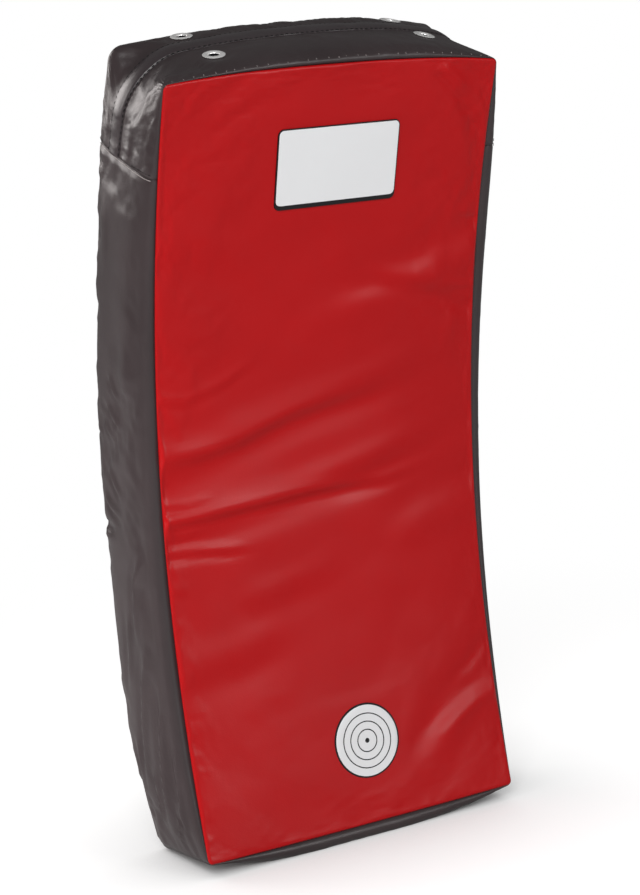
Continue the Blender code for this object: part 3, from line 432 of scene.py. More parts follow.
def right_station(drop, depth):
    """The station of the right side or its top corner that lies a drop below the top seam."""
    radius = float(corner_radius(depth, RIGHT_CORNER_SWELL))
    if drop < radius:
        return TOP_RIGHT + math.acos(1 - drop / radius) / (math.pi / 2)
    return RIGHT + (1 - SEAM_STATION) * (drop - radius) / (SEAM_DROP - radius)


def stations(first, last, step):
    """Stations between two, about a step in metres apart, dense round the corners."""
    lengths = {LEFT: HEIGHT, RIGHT: HEIGHT, TOP: WIDTH, BOTTOM: WIDTH}
    marks = []
    for part in range(int(first), int(math.ceil(last))):
        corner = TOP_CORNER_RUN if part % 8 < RIGHT else FOOT_CORNER_RUN
        count = int(round(lengths.get(part % 8, corner) / step))
        marks.append(part + np.arange(count) / count)
    marks = np.concatenate(marks)
    marks = marks[(marks > first + 1e-4) & (marks < last - 1e-4)]
    return np.concatenate([[first], marks, [last]])


def eased(near, far, steps):
    """Values between two that lie closer together near both ends."""
    k = np.arange(steps + 1) / steps
    return near + (far - near) * (0.15 * k + 0.85 * (1 - np.cos(np.pi * k)) / 2)


# Folds in the cloth


def soft_noise(a, b, size, seed):
    """Smooth noise about -1 to 1 at positions a and b, with features of that size."""
    rng = np.random.default_rng(seed)
    table = rng.uniform(-1, 1, (NOISE_CELLS, NOISE_CELLS))
    i, j = a / size + 7.3, b / size + 3.1
    i0, j0 = np.floor(i).astype(int), np.floor(j).astype(int)
    s, t = smooth(i - i0), smooth(j - j0)

    def cell(i_step, j_step):
        return table[(i0 + i_step) % NOISE_CELLS, (j0 + j_step) % NOISE_CELLS]

    near = cell(0, 0) * (1 - t) + cell(0, 1) * t
    far = cell(1, 0) * (1 - t) + cell(1, 1) * t
    return near * (1 - s) + far * s


def ridge(a, b, points, width, height, valley, open_start=False):
    """A fold along a line of points, fading at its ends, with a valley beside it."""
    points = np.asarray(points, float)
    best = np.full(a.shape, 1e9)
    signed = np.zeros(a.shape)
    along = np.zeros(a.shape)
    steps = np.linalg.norm(np.diff(points, axis=0), axis=1)
    total = steps.sum()
    done = 0.0
    for start, end, step in zip(points[:-1], points[1:], steps):
        da, db = (end - start) / step
        t = np.clip((a - start[0]) * da + (b - start[1]) * db, 0, step)
        off_a, off_b = a - start[0] - t * da, b - start[1] - t * db
        distance = np.hypot(off_a, off_b)
        nearer = distance < best
        best = np.where(nearer, distance, best)
        signed = np.where(nearer, np.copysign(distance, off_a * -db + off_b * da), signed)
        along = np.where(nearer, (done + t) / total, along)
        done += step
    fade = smooth((1 - along) / FOLD_FADE_END)
    if not open_start:
        fade = fade * smooth(along / FOLD_FADE_START)
    crest = np.exp(-((signed / width) ** 2))
    trough = np.exp(-(((signed + VALLEY_OFFSET * width) / width) ** 2))
    return height * fade * (crest - valley * trough)


def puckers(along, inward, length, count, seed, reach, height, width=(0.0015, 0.004)):
    """Short folds that run in from a seam: along it and the distance inward, in metres."""
    rng = np.random.default_rng(seed)
    total = np.zeros(along.shape)
    for _ in range(count):
        spot = rng.uniform(0, length)
        deep = rng.uniform(*reach)
        wide = rng.uniform(*width)
        lean = rng.uniform(-PUCKER_LEAN, PUCKER_LEAN)
        tall = height * rng.uniform(0.4, 1.0) * rng.choice([-1, 1, 1])
        distance = (along - spot - lean * inward) / (wide * (1 + inward / deep))
        fade = smooth((deep - inward) / deep)
        total += tall * np.exp(-(distance ** 2)) * fade * smooth(inward / PUCKER_START)
    return total


def grid_faces(rows, columns):
    """The quads of a grid, as rows of four vertex numbers."""
    index = np.arange(rows * columns).reshape(rows, columns)
    corners = [index[:-1, :-1], index[1:, :-1], index[1:, 1:], index[:-1, 1:]]
    return np.stack(corners, -1).reshape(-1, 4)


def relaxed(points, grow, pressure, cap, seed):
    """How far cloth that is sewn down round its edge, and a little too large, moves along its normals."""
    scene = bpy.context.scene
    rows, columns = points.shape[:2]
    normal = normals_of(points)
    rng = np.random.default_rng(seed)
    start = points + normal * rng.uniform(-CLOTH_START, CLOTH_START, (rows, columns, 1))
    mesh = bpy.data.meshes.new("cloth")
    mesh.from_pydata(start.reshape(-1, 3).tolist(), [], grid_faces(rows, columns).tolist())
    sheet = bpy.data.objects.new("cloth", mesh)
    scene.collection.objects.link(sheet)
    edge = np.ones((rows, columns), bool)
    edge[1:-1, 1:-1] = False
    sheet.vertex_groups.new(name="sewn").add(np.flatnonzero(edge).tolist(), 1.0, "REPLACE")
    cloth = sheet.modifiers.new("cloth", "CLOTH").settings
    for key, value in CLOTH.items():
        setattr(cloth, key, value)
    cloth.shrink_min = -grow
    cloth.shrink_max = -grow
    cloth.uniform_pressure_force = pressure
    cloth.effector_weights.gravity = 0
    for number in range(1, CLOTH_FRAMES + 1):
        scene.frame_set(number)
    graph = bpy.context.evaluated_depsgraph_get()
    result = sheet.evaluated_get(graph).to_mesh()
    moved = np.empty(rows * columns * 3)
    result.vertices.foreach_get("co", moved)
    sheet.evaluated_get(graph).to_mesh_clear()
    bpy.data.objects.remove(sheet)
    scene.frame_set(1)
    shift = ((moved.reshape(points.shape) - points) * normal).sum(-1)
    return np.clip(shift, -cap, cap)


def resampled(field, a_from, b_from, a_to, b_to):
    """A grid of values read at other rows and columns, with smooth interpolation."""
    rows = np.interp(a_to, a_from, np.arange(len(a_from)))
    columns = np.interp(b_to, b_from, np.arange(len(b_from)))
    i, j = np.floor(rows).astype(int), np.floor(columns).astype(int)
    i, j = np.clip(i, 0, len(a_from) - 2), np.clip(j, 0, len(b_from) - 2)
    s, t = smooth(rows - i)[:, None], smooth(columns - j)[None, :]
    near = field[i][:, j] * (1 - t) + field[i][:, j + 1] * t
    far = field[i + 1][:, j] * (1 - t) + field[i + 1][:, j + 1] * t
    return near * (1 - s) + far * s


# Meshes


def add_object(name, mesh, material, body="shield"):
    mesh.materials.append(material)
    made = bpy.data.objects.new(name, mesh)
    bpy.context.scene.collection.objects.link(made)
    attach(made, body)
    return made


def grid_object(name, points, material, thickness=0.001, keep=None, flip=False):
    """A sheet through a grid of points, thickened to its inner side. keep says which of its faces stay."""
    faces = grid_faces(*points.shape[:2])
    flat = points.reshape(-1, 3)
    if keep is not None:
        faces = faces[keep(flat[faces].mean(axis=1))]
    if flip:
        faces = faces[:, ::-1]
    used = np.unique(faces)
    renumber = np.zeros(len(flat), int)
    renumber[used] = np.arange(len(used))
    mesh = bpy.data.meshes.new(name)
    mesh.from_pydata(flat[used].tolist(), [], renumber[faces].tolist())
    mesh.shade_smooth()
    made = add_object(name, mesh, material)
    wall = made.modifiers.new("thickness", "SOLIDIFY")
    wall.thickness = thickness
    wall.offset = -1
    return made


def from_bmesh(name, bm, material, body="shield", smooth_angle=40):
    bmesh.ops.recalc_face_normals(bm, faces=bm.faces)
    mesh = bpy.data.meshes.new(name)
    bm.to_mesh(mesh)
    bm.free()
    mesh.shade_smooth()
    mesh.set_sharp_from_angle(angle=math.radians(smooth_angle))
    return add_object(name, mesh, material, body)


def dress(made, node_name):
    """Hides the CAD piece that a mesh stands for."""
    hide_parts(node_name)


def frame_on(station, depth, level=0.0):
    """A matrix on the gusset: X along the outline, Y to the rear, Z outwards."""
    nudge = 1e-3
    here = gusset(station, depth)
    along = gusset(station + nudge, depth) - gusset(station - nudge, depth)
    rear = gusset(station, depth + nudge) - gusset(station, depth - nudge)
    along = Vector(along).normalized()
    out = along.cross(Vector(rear)).normalized()
    turn = Matrix((along, out.cross(along), out)).transposed().to_4x4()
    return Matrix.Translation(Vector(here) + out * level) @ turn


def ring_of(bm, points):
    """New vertices at points, in order."""
    return [bm.verts.new(point) for point in points]


def bridge(bm, first, second):
    """Quads between two closed rings of vertices."""
    for k in range(len(first)):
        n = (k + 1) % len(first)
        bm.faces.new((first[k], first[n], second[n], second[k]))


def lathe(name, profile, matrix, material, smooth_angle):
    """A ring turned round the matrix's Z from a closed profile of radius and level."""
    bm = bmesh.new()
    rings = []
    for k in range(LATHE_STEPS):
        turn = 2 * math.pi * k / LATHE_STEPS
        points = [(radius * math.cos(turn), radius * math.sin(turn), level) for radius, level in profile]
        rings.append(ring_of(bm, [matrix @ Vector(point) for point in points]))
    for first, second in zip(rings, rings[1:] + rings[:1]):
        bridge(bm, first, second)
    return from_bmesh(name, bm, material, smooth_angle=smooth_angle)


def add_stitch(bm, matrix, length, radius):
    """One stitch: a thread that comes up, lies along X and goes down again."""
    turns = [2 * math.pi * k / THREAD_SIDES for k in range(THREAD_SIDES)]
    rings = []
    for share in (-1.0, -0.8, -0.35, 0.35, 0.8, 1.0):
        x = share * length / 2
        z = radius * (1 - abs(share) ** 4 * 2.2)
        size = radius * (1 - 0.35 * abs(share) ** 3)
        points = [(x, size * math.cos(turn), z + size * 0.8 * math.sin(turn)) for turn in turns]
        rings.append(ring_of(bm, [matrix @ Vector(point) for point in points]))
    for first, second in zip(rings, rings[1:]):
        bridge(bm, second, first)
    bm.faces.new(rings[0])
    bm.faces.new(rings[-1][::-1])


def stitches_along(points, normals, pitch, length, radius, seed):
    """Stitches along a line of points, each lying on its surface."""
    rng = np.random.default_rng(seed)
    bm = bmesh.new()
    steps = np.linalg.norm(np.diff(points, axis=0), axis=1)
    run = np.concatenate([[0], np.cumsum(steps)])

    def read(table, spot):
        return np.array([np.interp(spot, run, table[:, k]) for k in range(3)])

    spot = pitch / 2
    while spot < run[-1] - pitch / 2:
        here = read(points, spot)
        normal = Vector(read(normals, spot)).normalized()
        along = Vector(read(points, spot + pitch / 4) - here).normalized()
        side = normal.cross(along).normalized()
        side = (side + along * rng.uniform(-STITCH_JITTER, STITCH_JITTER)).normalized()
        along = side.cross(normal).normalized()
        turn = Matrix((along, side, normal)).transposed().to_4x4()
        add_stitch(bm, Matrix.Translation(Vector(here)) @ turn, length, radius)
        spot += pitch * rng.uniform(0.97, 1.03)
    return bm


def sew(name, bm, material):
    from_bmesh(name, bm, material)


# Materials


def feed(tree, socket, value):
    """Gives a socket a number or colour, or the output of a socket or node."""
    if isinstance(value, bpy.types.Node):
        value = value.outputs[0]
    if isinstance(value, bpy.types.NodeSocket):
        tree.links.new(value, socket)
    else:
        socket.default_value = value


def node(tree, kind, *inputs, **settings):
    """A new node. Inputs go to its sockets in order, settings to sockets or attributes by name."""
    made = tree.nodes.new("ShaderNode" + kind)
    for socket, value in zip(made.inputs, inputs):
        feed(tree, socket, value)
    for key, value in settings.items():
        if key in made.inputs:
            feed(tree, made.inputs[key], value)
        else:
            setattr(made, key, value)
    return made


def new_look(name):
    """A new material with its tree, its shader and the object coordinates."""
    made = bpy.data.materials.new(name)
    made.use_nodes = True
    tree = made.node_tree
    return made, tree, tree.nodes["Principled BSDF"], node(tree, "TexCoord").outputs["Object"]


def tinted(tree, shader, where, colour, spread, scale):
    """A colour that wanders a little to a darker and a lighter tone."""
    noise = node(tree, "TexNoise", where, Scale=scale, Detail=4.0, Roughness=0.55)
    ramp = node(tree, "ValToRGB", noise)
    darker = [c * (1 - spread) for c in colour]
    lighter = [min(c * (1 + spread), 1) for c in colour]
    for stop, position, tone in zip(ramp.color_ramp.elements, NOISE_SPAN, (darker, lighter)):
        stop.position = position
        stop.color = (*tone, 1)
    feed(tree, shader.inputs["Base Color"], ramp)


def roughened(tree, shader, where, low, high, scale):
    noise = node(tree, "TexNoise", where, Scale=scale, Detail=5.0, Roughness=0.6)
    feed(tree, shader.inputs["Roughness"], node(tree, "MapRange", noise, *NOISE_SPAN, low, high))


def bumped(tree, shader, *layers):
    """Stacks bump layers of height, strength and distance."""
    last = None
    for height, strength, distance in layers:
        bump = node(tree, "Bump", Strength=strength, Distance=distance, Height=height)
        if last:
            feed(tree, bump.inputs["Normal"], last)
        last = bump
    feed(tree, shader.inputs["Normal"], last)


def vinyl(name, colour, rough, spread, grain, specular=0.5, crumpled=0.20):
    """Coated cloth: a fine pebbled grain over the weave's faint waviness, with a soft shine."""
    made, tree, shader, where = new_look(name)
    tinted(tree, shader, where, colour, spread=spread, scale=9.0)
    roughened(tree, shader, where, rough - 0.03, rough + 0.04, scale=30.0)
    crumple = node(tree, "TexNoise", where, Scale=30.0, Detail=1.0, Distortion=0.2)
    weave = node(tree, "TexNoise", where, Scale=260.0, Detail=3.0)
    pebbles = node(tree, "TexVoronoi", where, Scale=950.0, feature="SMOOTH_F1", Smoothness=0.5)
    bumped(tree, shader, (crumple, crumpled, 0.003), (weave, grain * 0.5, 0.0006), (pebbles, grain, 0.0003))
    shader.inputs["Specular IOR Level"].default_value = specular
    return made


def webbing_material(name, colour, pitch=0.0022):
    """Ribbed webbing: rows of yarn across a fine weave."""
    made, tree, shader, where = new_look(name)
    tinted(tree, shader, where, colour, spread=0.25, scale=60.0)
    rows = 0.5 / pitch / math.pi
    yarns = 0.5 / (pitch * 0.6) / math.pi
    ribs = node(tree, "TexWave", where, Scale=rows, Distortion=0.4, bands_direction="Z")
    yarn = node(tree, "TexWave", where, Scale=yarns, Distortion=0.8, bands_direction="X")
    bumped(tree, shader, (ribs.outputs["Fac"], 0.7, 0.0009), (yarn.outputs["Fac"], 0.5, 0.0006))
    shader.inputs["Roughness"].default_value = 0.82
    shader.inputs["Sheen Weight"].default_value = 0.25
    return made


def metal(name, colour, rough):
    made, tree, shader, where = new_look(name)
    tinted(tree, shader, where, colour, spread=0.06, scale=90.0)
    roughened(tree, shader, where, rough - 0.05, rough + 0.06, scale=120.0)
    bumped(tree, shader, (node(tree, "TexNoise", where, Scale=160.0, Detail=2.0), 0.04, 0.0004))
    shader.inputs["Metallic"].default_value = 0.5
    return made


def foam_material(name, colour):
    made, tree, shader, where = new_look(name)
    tinted(tree, shader, where, colour, spread=0.12, scale=40.0)
    bumped(tree, shader, (node(tree, "TexVoronoi", where, Scale=600.0), 0.8, 0.001))
    shader.inputs["Roughness"].default_value = 0.95
    return made


def thread_material(name, colour):
    made, tree, shader, where = new_look(name)
    tinted(tree, shader, where, colour, spread=0.2, scale=300.0)
    twist = node(tree, "TexWave", where, Scale=900.0, Distortion=1.0)
    bumped(tree, shader, (twist.outputs["Fac"], 0.5, 0.0002))
    shader.inputs["Roughness"].default_value = 0.7
    shader.inputs["Specular IOR Level"].default_value = 0.25
    return made


RED = vinyl("red_vinyl_look", (0.400, 0.0030, 0.0045), 0.33, spread=0.04, grain=0.20, specular=0.22,
            crumpled=0.06)
BLACK = vinyl("black_vinyl_look", (0.033, 0.0240, 0.0252), 0.38, spread=0.18, grain=0.28, specular=0.43)
FLAP_BLACK = vinyl("flap_vinyl_look", (0.036, 0.028, 0.030), 0.32, spread=0.15, grain=0.28, specular=0.42)
WHITE = vinyl("white_vinyl_look", (0.73, 0.74, 0.75), 0.42, spread=0.02, grain=0.15, specular=0.3,
              crumpled=0.05)
# Near-black print for the plate and the scoring disc; the same material on the cup under each eyelet hole
# paints shade.
PRINT_AND_SHADE_BLACK = vinyl("print_and_shade_black_look", (0.009, 0.009, 0.010), 0.45, spread=0.15, grain=0.15, specular=0.2)
GRIP_BLACK = vinyl("grip_vinyl_look", (0.022, 0.020, 0.021), 0.45, spread=0.18, grain=0.40)
WEBBING = webbing_material("webbing_look", (0.018, 0.018, 0.020))
TAPE = webbing_material("zip_tape_look", (0.016, 0.016, 0.018), 0.0008)
NICKEL = metal("nickel_look", (0.86, 0.85, 0.84), 0.30)
TEETH = vinyl("zip_teeth_look", (0.022, 0.022, 0.024), 0.30, spread=0.1, grain=0.05)
FIRM_FOAM = foam_material("firm_foam_look", (0.10, 0.12, 0.15))
SOFT_FOAM = foam_material("soft_foam_look", (0.26, 0.26, 0.25))
DARK_THREAD = thread_material("dark_thread_look", (0.004, 0.004, 0.004))
# Pale thread for the thread ends in the top seam; on the row below each cross seam it paints the highlight of
# the rolled edge.
PALE_THREAD_AND_HIGHLIGHT = thread_material("pale_thread_and_highlight_look", (0.42, 0.38, 0.37))


# The cover


def seam_depth(distance, roll, sink):
    """How far a panel's edge turns in at its seam."""
    share = np.clip(1 - distance / roll, 0, 1)
    return sink * (1 - np.sqrt(np.maximum(1 - share ** 2, 0)))


def packed(count, closeness):
    """Positions from -1 to 1 that lie closer together towards both ends."""
    reach = math.pi / 2 * closeness
    return np.sin(np.linspace(-1, 1, count + 1) * math.pi / 2 * closeness) / math.sin(reach)


def face_grid(depth, step, corner):
    """Column and row positions, x, v and the distance to the edge for a grid over the front or back."""
    low, high = chord_ends(depth)
    half = WIDTH / 2
    a = packed(int(round(WIDTH / step)), 0.86)
    b = packed(int(round((high - low) / step)), 0.80)
    f, g = np.meshgrid(a, b)
    x = f * half
    bottom = low - BOTTOM_ARCH * (1 - np.abs(f) ** END_FADE)
    top = high + TOP_ARCH * (1 - np.abs(f) ** END_FADE)
    v = bottom + (g + 1) / 2 * (top - bottom)
    side = half - np.abs(x)
    end = np.minimum(v - bottom, top - v)
    in_corner = (side < corner) & (end < corner)
    reach = np.hypot(corner - side, corner - end)
    pull = np.where(in_corner & (reach > corner), corner / np.maximum(reach, 1e-9), 1)
    side = np.where(in_corner, corner - (corner - side) * pull, side)
    end = np.where(in_corner, corner - (corner - end) * pull, end)
    x = np.copysign(half - side, x)
    v = np.where(g > 0, top - end, bottom + end)
    rounded = corner - np.minimum(np.hypot(corner - side, corner - end), corner)
    edge = np.where((side < corner) & (end < corner), rounded, np.minimum(side, end))
    return a, b, x, v, np.maximum(edge, 0)


def face_drape(depth, step, corner, columns, rows, cap, seed):
    """The relaxed cloth of the front or back, read at a finer grid's columns and rows."""
    coarse_columns, coarse_rows, x, v, _ = face_grid(depth, step, corner)
    outwards = -1 if depth == 0 else 1
    sheet = place(x, depth, v)[:, ::outwards]
    drape = relaxed(sheet, FACE_GROW, 0.0, cap, seed)[:, ::outwards]
    return resampled(drape, coarse_rows, coarse_columns, rows, columns)


def with_skirt(points, x, v, depth):
    """The grid with one more row all round, drawn in a little at a depth inside the cover."""
    inwards = np.where(v > HEIGHT / 2, -SKIRT_INSET, SKIRT_INSET)
    skirt = place(x * (1 - SKIRT_INSET / (WIDTH / 2)), depth, v + inwards)
    grown = np.pad(skirt, ((1, 1), (1, 1), (0, 0)), mode="edge")
    grown[1:-1, 1:-1] = points
    return grown


def away_from(a, b, centre, size, fade):
    """0 over a patch of the face, rising to 1 a fade's length away from it."""
    outside_a = np.maximum(np.abs(a - centre[0]) - size[0] / 2, 0)
    outside_b = np.maximum(np.abs(b - centre[1]) - size[1] / 2, 0)
    return smooth(np.hypot(outside_a, outside_b) / fade)


def front_height(x, v, edge):
    """How far the struck face stands out of the plain surface."""
    height = 0.0007 * soft_noise(x, v, size=0.085, seed=11) + 0.00030 * soft_noise(x, v, size=0.030, seed=12)
    for points, width, tall, valley, from_edge in FRONT_FOLDS:
        height += FRONT_FOLD_GAIN * ridge(x, v, points, width, tall, valley, from_edge)
    for points, width, tall in FRONT_SWELLS:
        height += ridge(x, v, points, width, tall, valley=0.9, open_start=True)
    half = WIDTH / 2
    height += puckers(v, half + x, HEIGHT, count=60, seed=21, reach=(0.008, 0.034), height=0.00060)
    height += puckers(v, half - x, HEIGHT, count=46, seed=22, reach=(0.006, 0.024), height=0.00050)
    from_top = HEIGHT + TOP_ARCH - v
    height += puckers(x + half, from_top, WIDTH, count=34, seed=23, reach=(0.005, 0.016), height=0.00045)
    height += puckers(x + half, v, WIDTH, count=34, seed=24, reach=(0.006, 0.022), height=0.00050)
    height *= away_from(x, v, LABEL_CENTRE, LABEL_CALM, fade=0.025)
    height *= away_from(x, v, MARK_CENTRE, MARK_CALM, fade=0.020)
    return height * smooth(edge / SEAM_FADE)


def build_front():
    columns, rows, x, v, edge = face_grid(0.0, step=0.0030, corner=FRONT_CORNER)
    drape = face_drape(0.0, 0.0085, FRONT_CORNER, columns, rows, cap=0.0016, seed=3)
    drape = drape * away_from(x, v, LABEL_CENTRE, LABEL_CALM, fade=0.03) * smooth(edge / 0.006)
    drape = drape * away_from(x, v, MARK_CENTRE, MARK_CALM, fade=0.02)
    drape = drape * (DRAPE_AT_FOOT + DRAPE_MORE_ABOVE * smooth((v - DRAPE_START) / DRAPE_RISE))
    depth = seam_depth(edge, roll=0.0035, sink=0.0014) - front_height(x, v, edge) - drape
    points = with_skirt(place(x, depth, v), x, v, SKIRT_DEPTH)
    made = grid_object("front_cover", points, RED, FACE_THICKNESS, flip=True)
    dress(made, "front_panel")


def build_back():
    columns, rows, x, v, edge = face_grid(DEPTH, step=0.0042, corner=REAR_CORNER)
    drape = face_drape(DEPTH, 0.0095, REAR_CORNER, columns, rows, cap=0.0018, seed=4)
    half = WIDTH / 2
    height = 0.0009 * soft_noise(x, v, size=0.090, seed=31) + 0.0004 * soft_noise(x, v, size=0.035, seed=32)
    for seed, inward in ((33, half + x), (34, half - x)):
        height += puckers(v, inward, HEIGHT, count=56, seed=seed, reach=(0.008, 0.030), height=0.0006)
    for handle in HANDLE_HEIGHTS.values():
        for sign in (-1, 1):
            beside = [(sign * 0.135, handle + 0.02), (sign * 0.155, handle + 0.05)]
            under = [(sign * 0.06, handle - 0.04), (0, handle - 0.075)]
            height += ridge(x, v, beside, width=0.004, height=0.0010, valley=0.6)
            height += ridge(x, v, under, width=0.009, height=0.0010, valley=0.5)
        drape = drape * away_from(x, v, (0, handle), HANDLE_CALM, fade=0.02)
        height *= away_from(x, v, (0, handle), HANDLE_CALM, fade=0.015)
    height = (height + BACK_DRAPE * drape) * smooth(edge / 0.006)
    depth = DEPTH - seam_depth(edge, roll=0.0055, sink=0.0026) + height
    points = with_skirt(place(x, depth, v), x, v, DEPTH - SKIRT_DEPTH)
    made = grid_object("back_cover", points, BLACK, FACE_THICKNESS)
    dress(made, "back_panel")


def side_height(v, depth, folds, seed, seam_v):
    """How far a side stands out of the plain surface. v is measured up the side, in metres."""
    height = 0.0010 * soft_noise(v, depth * 2, size=0.080, seed=seed)
    height += 0.0004 * soft_noise(v, depth, size=0.022, seed=seed + 1)
    for points, width, tall, valley in folds:
        line = [(share * HEIGHT, fold_depth) for share, fold_depth in points]
        height += SIDE_FOLD_GAIN * ridge(v, depth, line, width, tall, valley)
    height += puckers(v, depth, HEIGHT, count=70, seed=seed + 2, reach=(0.008, 0.028),
                      width=(0.0015, 0.0040), height=0.00075)
    height += puckers(v, DEPTH - depth, HEIGHT, count=60, seed=seed + 3, reach=(0.008, 0.030),
                      width=(0.0015, 0.0045), height=0.00080)
    height += puckers(depth, seam_v - v, DEPTH, count=16, seed=seed + 4, reach=(0.010, 0.030),
                      width=(0.0016, 0.0040), height=0.0009)
    return height


def closing(depth):
    """1 in the middle of a gusset, falling to 0 at both of its seams."""
    return smooth((depth - EDGE) / SEAM_FADE) * smooth((DEPTH - EDGE - depth) / SEAM_FADE)


def gusset_points(marks, depths, height):
    """A strip's grid of points, raised along its normals and never under the ground."""
    q, depth = np.meshgrid(marks, depths, indexing="ij")
    base = gusset(q, depth)
    points = base + normals_of(base) * height(q, depth)[..., None]
    points[..., 2] = np.maximum(points[..., 2], 0.0)
    return points


def strip_drape(marks, depths, grow, pressure, cap, seed):
    """The relaxed cloth of a strip of the gusset, at coarse stations and depths."""
    q, depth = np.meshgrid(marks, depths, indexing="ij")
    return relaxed(gusset(q, depth), grow, pressure, cap, seed)


def build_side(name, panel, first, last, folds, seed, fuller):
    marks = stations(first, last, 0.0036)
    depths = eased(EDGE, DEPTH - EDGE, 44)
    coarse = np.linspace(first, last, 90)
    coarse_depths = np.linspace(EDGE, DEPTH - EDGE, 18)
    drape = strip_drape(coarse, coarse_depths, grow=0.010, pressure=0.4, cap=0.0022, seed=seed)
    drape = resampled(drape, coarse, coarse_depths, marks, depths)
    seam_v = SEAM_STATION * HEIGHT

    def height(q, depth):
        turned = np.mod(q, 8)
        share = np.where(turned > 6, turned - 8, np.where(turned > 3.5, 5 - turned, turned))
        v = share * HEIGHT
        inside = depth - EDGE
        loose = GUSSET_DRAPE * drape * smooth(inside / 0.030)
        raised = side_height(v, depth, folds, seed, seam_v) + loose
        near_seam = smooth((seam_v - v) / SEAM_FADE)
        flat_edge = smooth(inside / 0.018)
        padding = fuller * smooth(inside / 0.040) * smooth((DEPTH - EDGE - depth) / 0.020)
        return (raised * flat_edge + padding) * closing(depth) * near_seam - CROSS_SEAM_DIP * (1 - near_seam)

    made = grid_object(name, gusset_points(marks, depths, height), BLACK)
    dress(made, panel)


def build_bottom():
    marks = stations(BOTTOM_RIGHT + 0.52, BOTTOM_LEFT + 0.48, 0.0045)
    depths = eased(EDGE, DEPTH - EDGE, 36)

    def height(q, depth):
        run = (q - BOTTOM) * WIDTH
        raised = 0.0008 * soft_noise(run, depth, size=0.05, seed=51)
        for seed, inward in ((52, depth), (53, DEPTH - depth)):
            raised += puckers(run, inward, WIDTH, count=40, seed=seed, reach=(0.006, 0.020), height=0.0007)
        return raised * closing(depth)

    made = grid_object("bottom_cover", gusset_points(marks, depths, height), BLACK)
    dress(made, "bottom_panel")


EYELET_FRAMES = {
    (row, side): frame_on(top_station(x, depth), depth)
    for row, spots in (("front", FRONT_EYELETS), ("rear", REAR_EYELETS))
    for side, (x, depth) in zip(("left", "right"), spots)
}


def from_eyelets(points):
    """The distance to each eyelet's middle in turn."""
    for matrix in EYELET_FRAMES.values():
        yield np.linalg.norm(points - np.array(matrix.translation), axis=-1)


def calm_near_eyelets(points):
    """0 at each eyelet, rising to 1 away from it."""
    calm = np.ones(points.shape[:2])
    for distance in from_eyelets(points):
        calm = calm * smooth((distance - EYELET_CALM) / EYELET_FADE)
    return calm


def outside_eyelets(centres):
    keep = np.ones(len(centres), bool)
    for distance in from_eyelets(centres):
        keep &= distance > EYELET_HOLE
    return keep


def top_run(q):
    """Distance along the top's stations from the left cross seam, in metres."""
    marks = [LEFT_SEAM, TOP_LEFT, TOP, TOP_RIGHT, RIGHT, RIGHT_SEAM]
    right_end = SEAM_DROP + WIDTH
    lengths = [0, SEAM_DROP - SEAM_CUT, SEAM_DROP + 0.005, right_end - 0.01, right_end, TOP_RUN]
    return np.interp(q, marks, lengths)


def build_top(name, panel, near, far, seed, steps):
    marks = stations(LEFT_SEAM, RIGHT_SEAM, 0.0030)
    depths = eased(near, far, steps)
    q, depth = np.meshgrid(marks, depths, indexing="ij")
    base = gusset(q, depth)
    coarse = marks[:: max(1, len(marks) // 110)]
    coarse = np.append(coarse[coarse < marks[-1] - 0.01], marks[-1])
    coarse_depths = np.linspace(near, far, 12)
    drape = strip_drape(coarse, coarse_depths, grow=0.012, pressure=0.2, cap=0.0016, seed=seed)
    drape = resampled(drape, coarse, coarse_depths, marks, depths)
    run = top_run(q)
    height = 0.0006 * soft_noise(run, depth, size=0.045, seed=seed + 1)
    height += 0.0006 * soft_noise(run, depth, size=0.016, seed=seed + 5)
    for points, width, tall, valley in TOP_FOLDS:
        height += ridge(run, depth, points, width, tall, valley)
    if far < ZIP_DEPTH:
        height += puckers(run, depth, TOP_RUN, count=110, seed=seed + 2, reach=(0.005, 0.018),
                          width=(0.0012, 0.0030), height=0.0008)
    else:
        height += puckers(run, DEPTH - depth, TOP_RUN, count=90, seed=seed + 3, reach=(0.006, 0.020),
                          width=(0.0014, 0.0034), height=0.0005)
    height += puckers(depth, run, DEPTH, count=14, seed=seed + 4, reach=(0.008, 0.022),
                      width=(0.0016, 0.0036), height=0.0010)
    height = (height + GUSSET_DRAPE * drape) * calm_near_eyelets(base) * closing(depth)
    height *= 1 - RIGHT_CALM * smooth((run - RIGHT_CALM_START) / RIGHT_CALM_FADE)
    height *= smooth(run / 0.003)
    height *= smooth((TOP_RUN - run) / 0.003)
    height *= smooth((np.abs(depth - ZIP_DEPTH) - FLAP_CALM) / FLAP_CALM_FADE)
    points = base + normals_of(base) * height[..., None]
    made = grid_object(name, points, BLACK, keep=outside_eyelets)
    dress(made, panel)


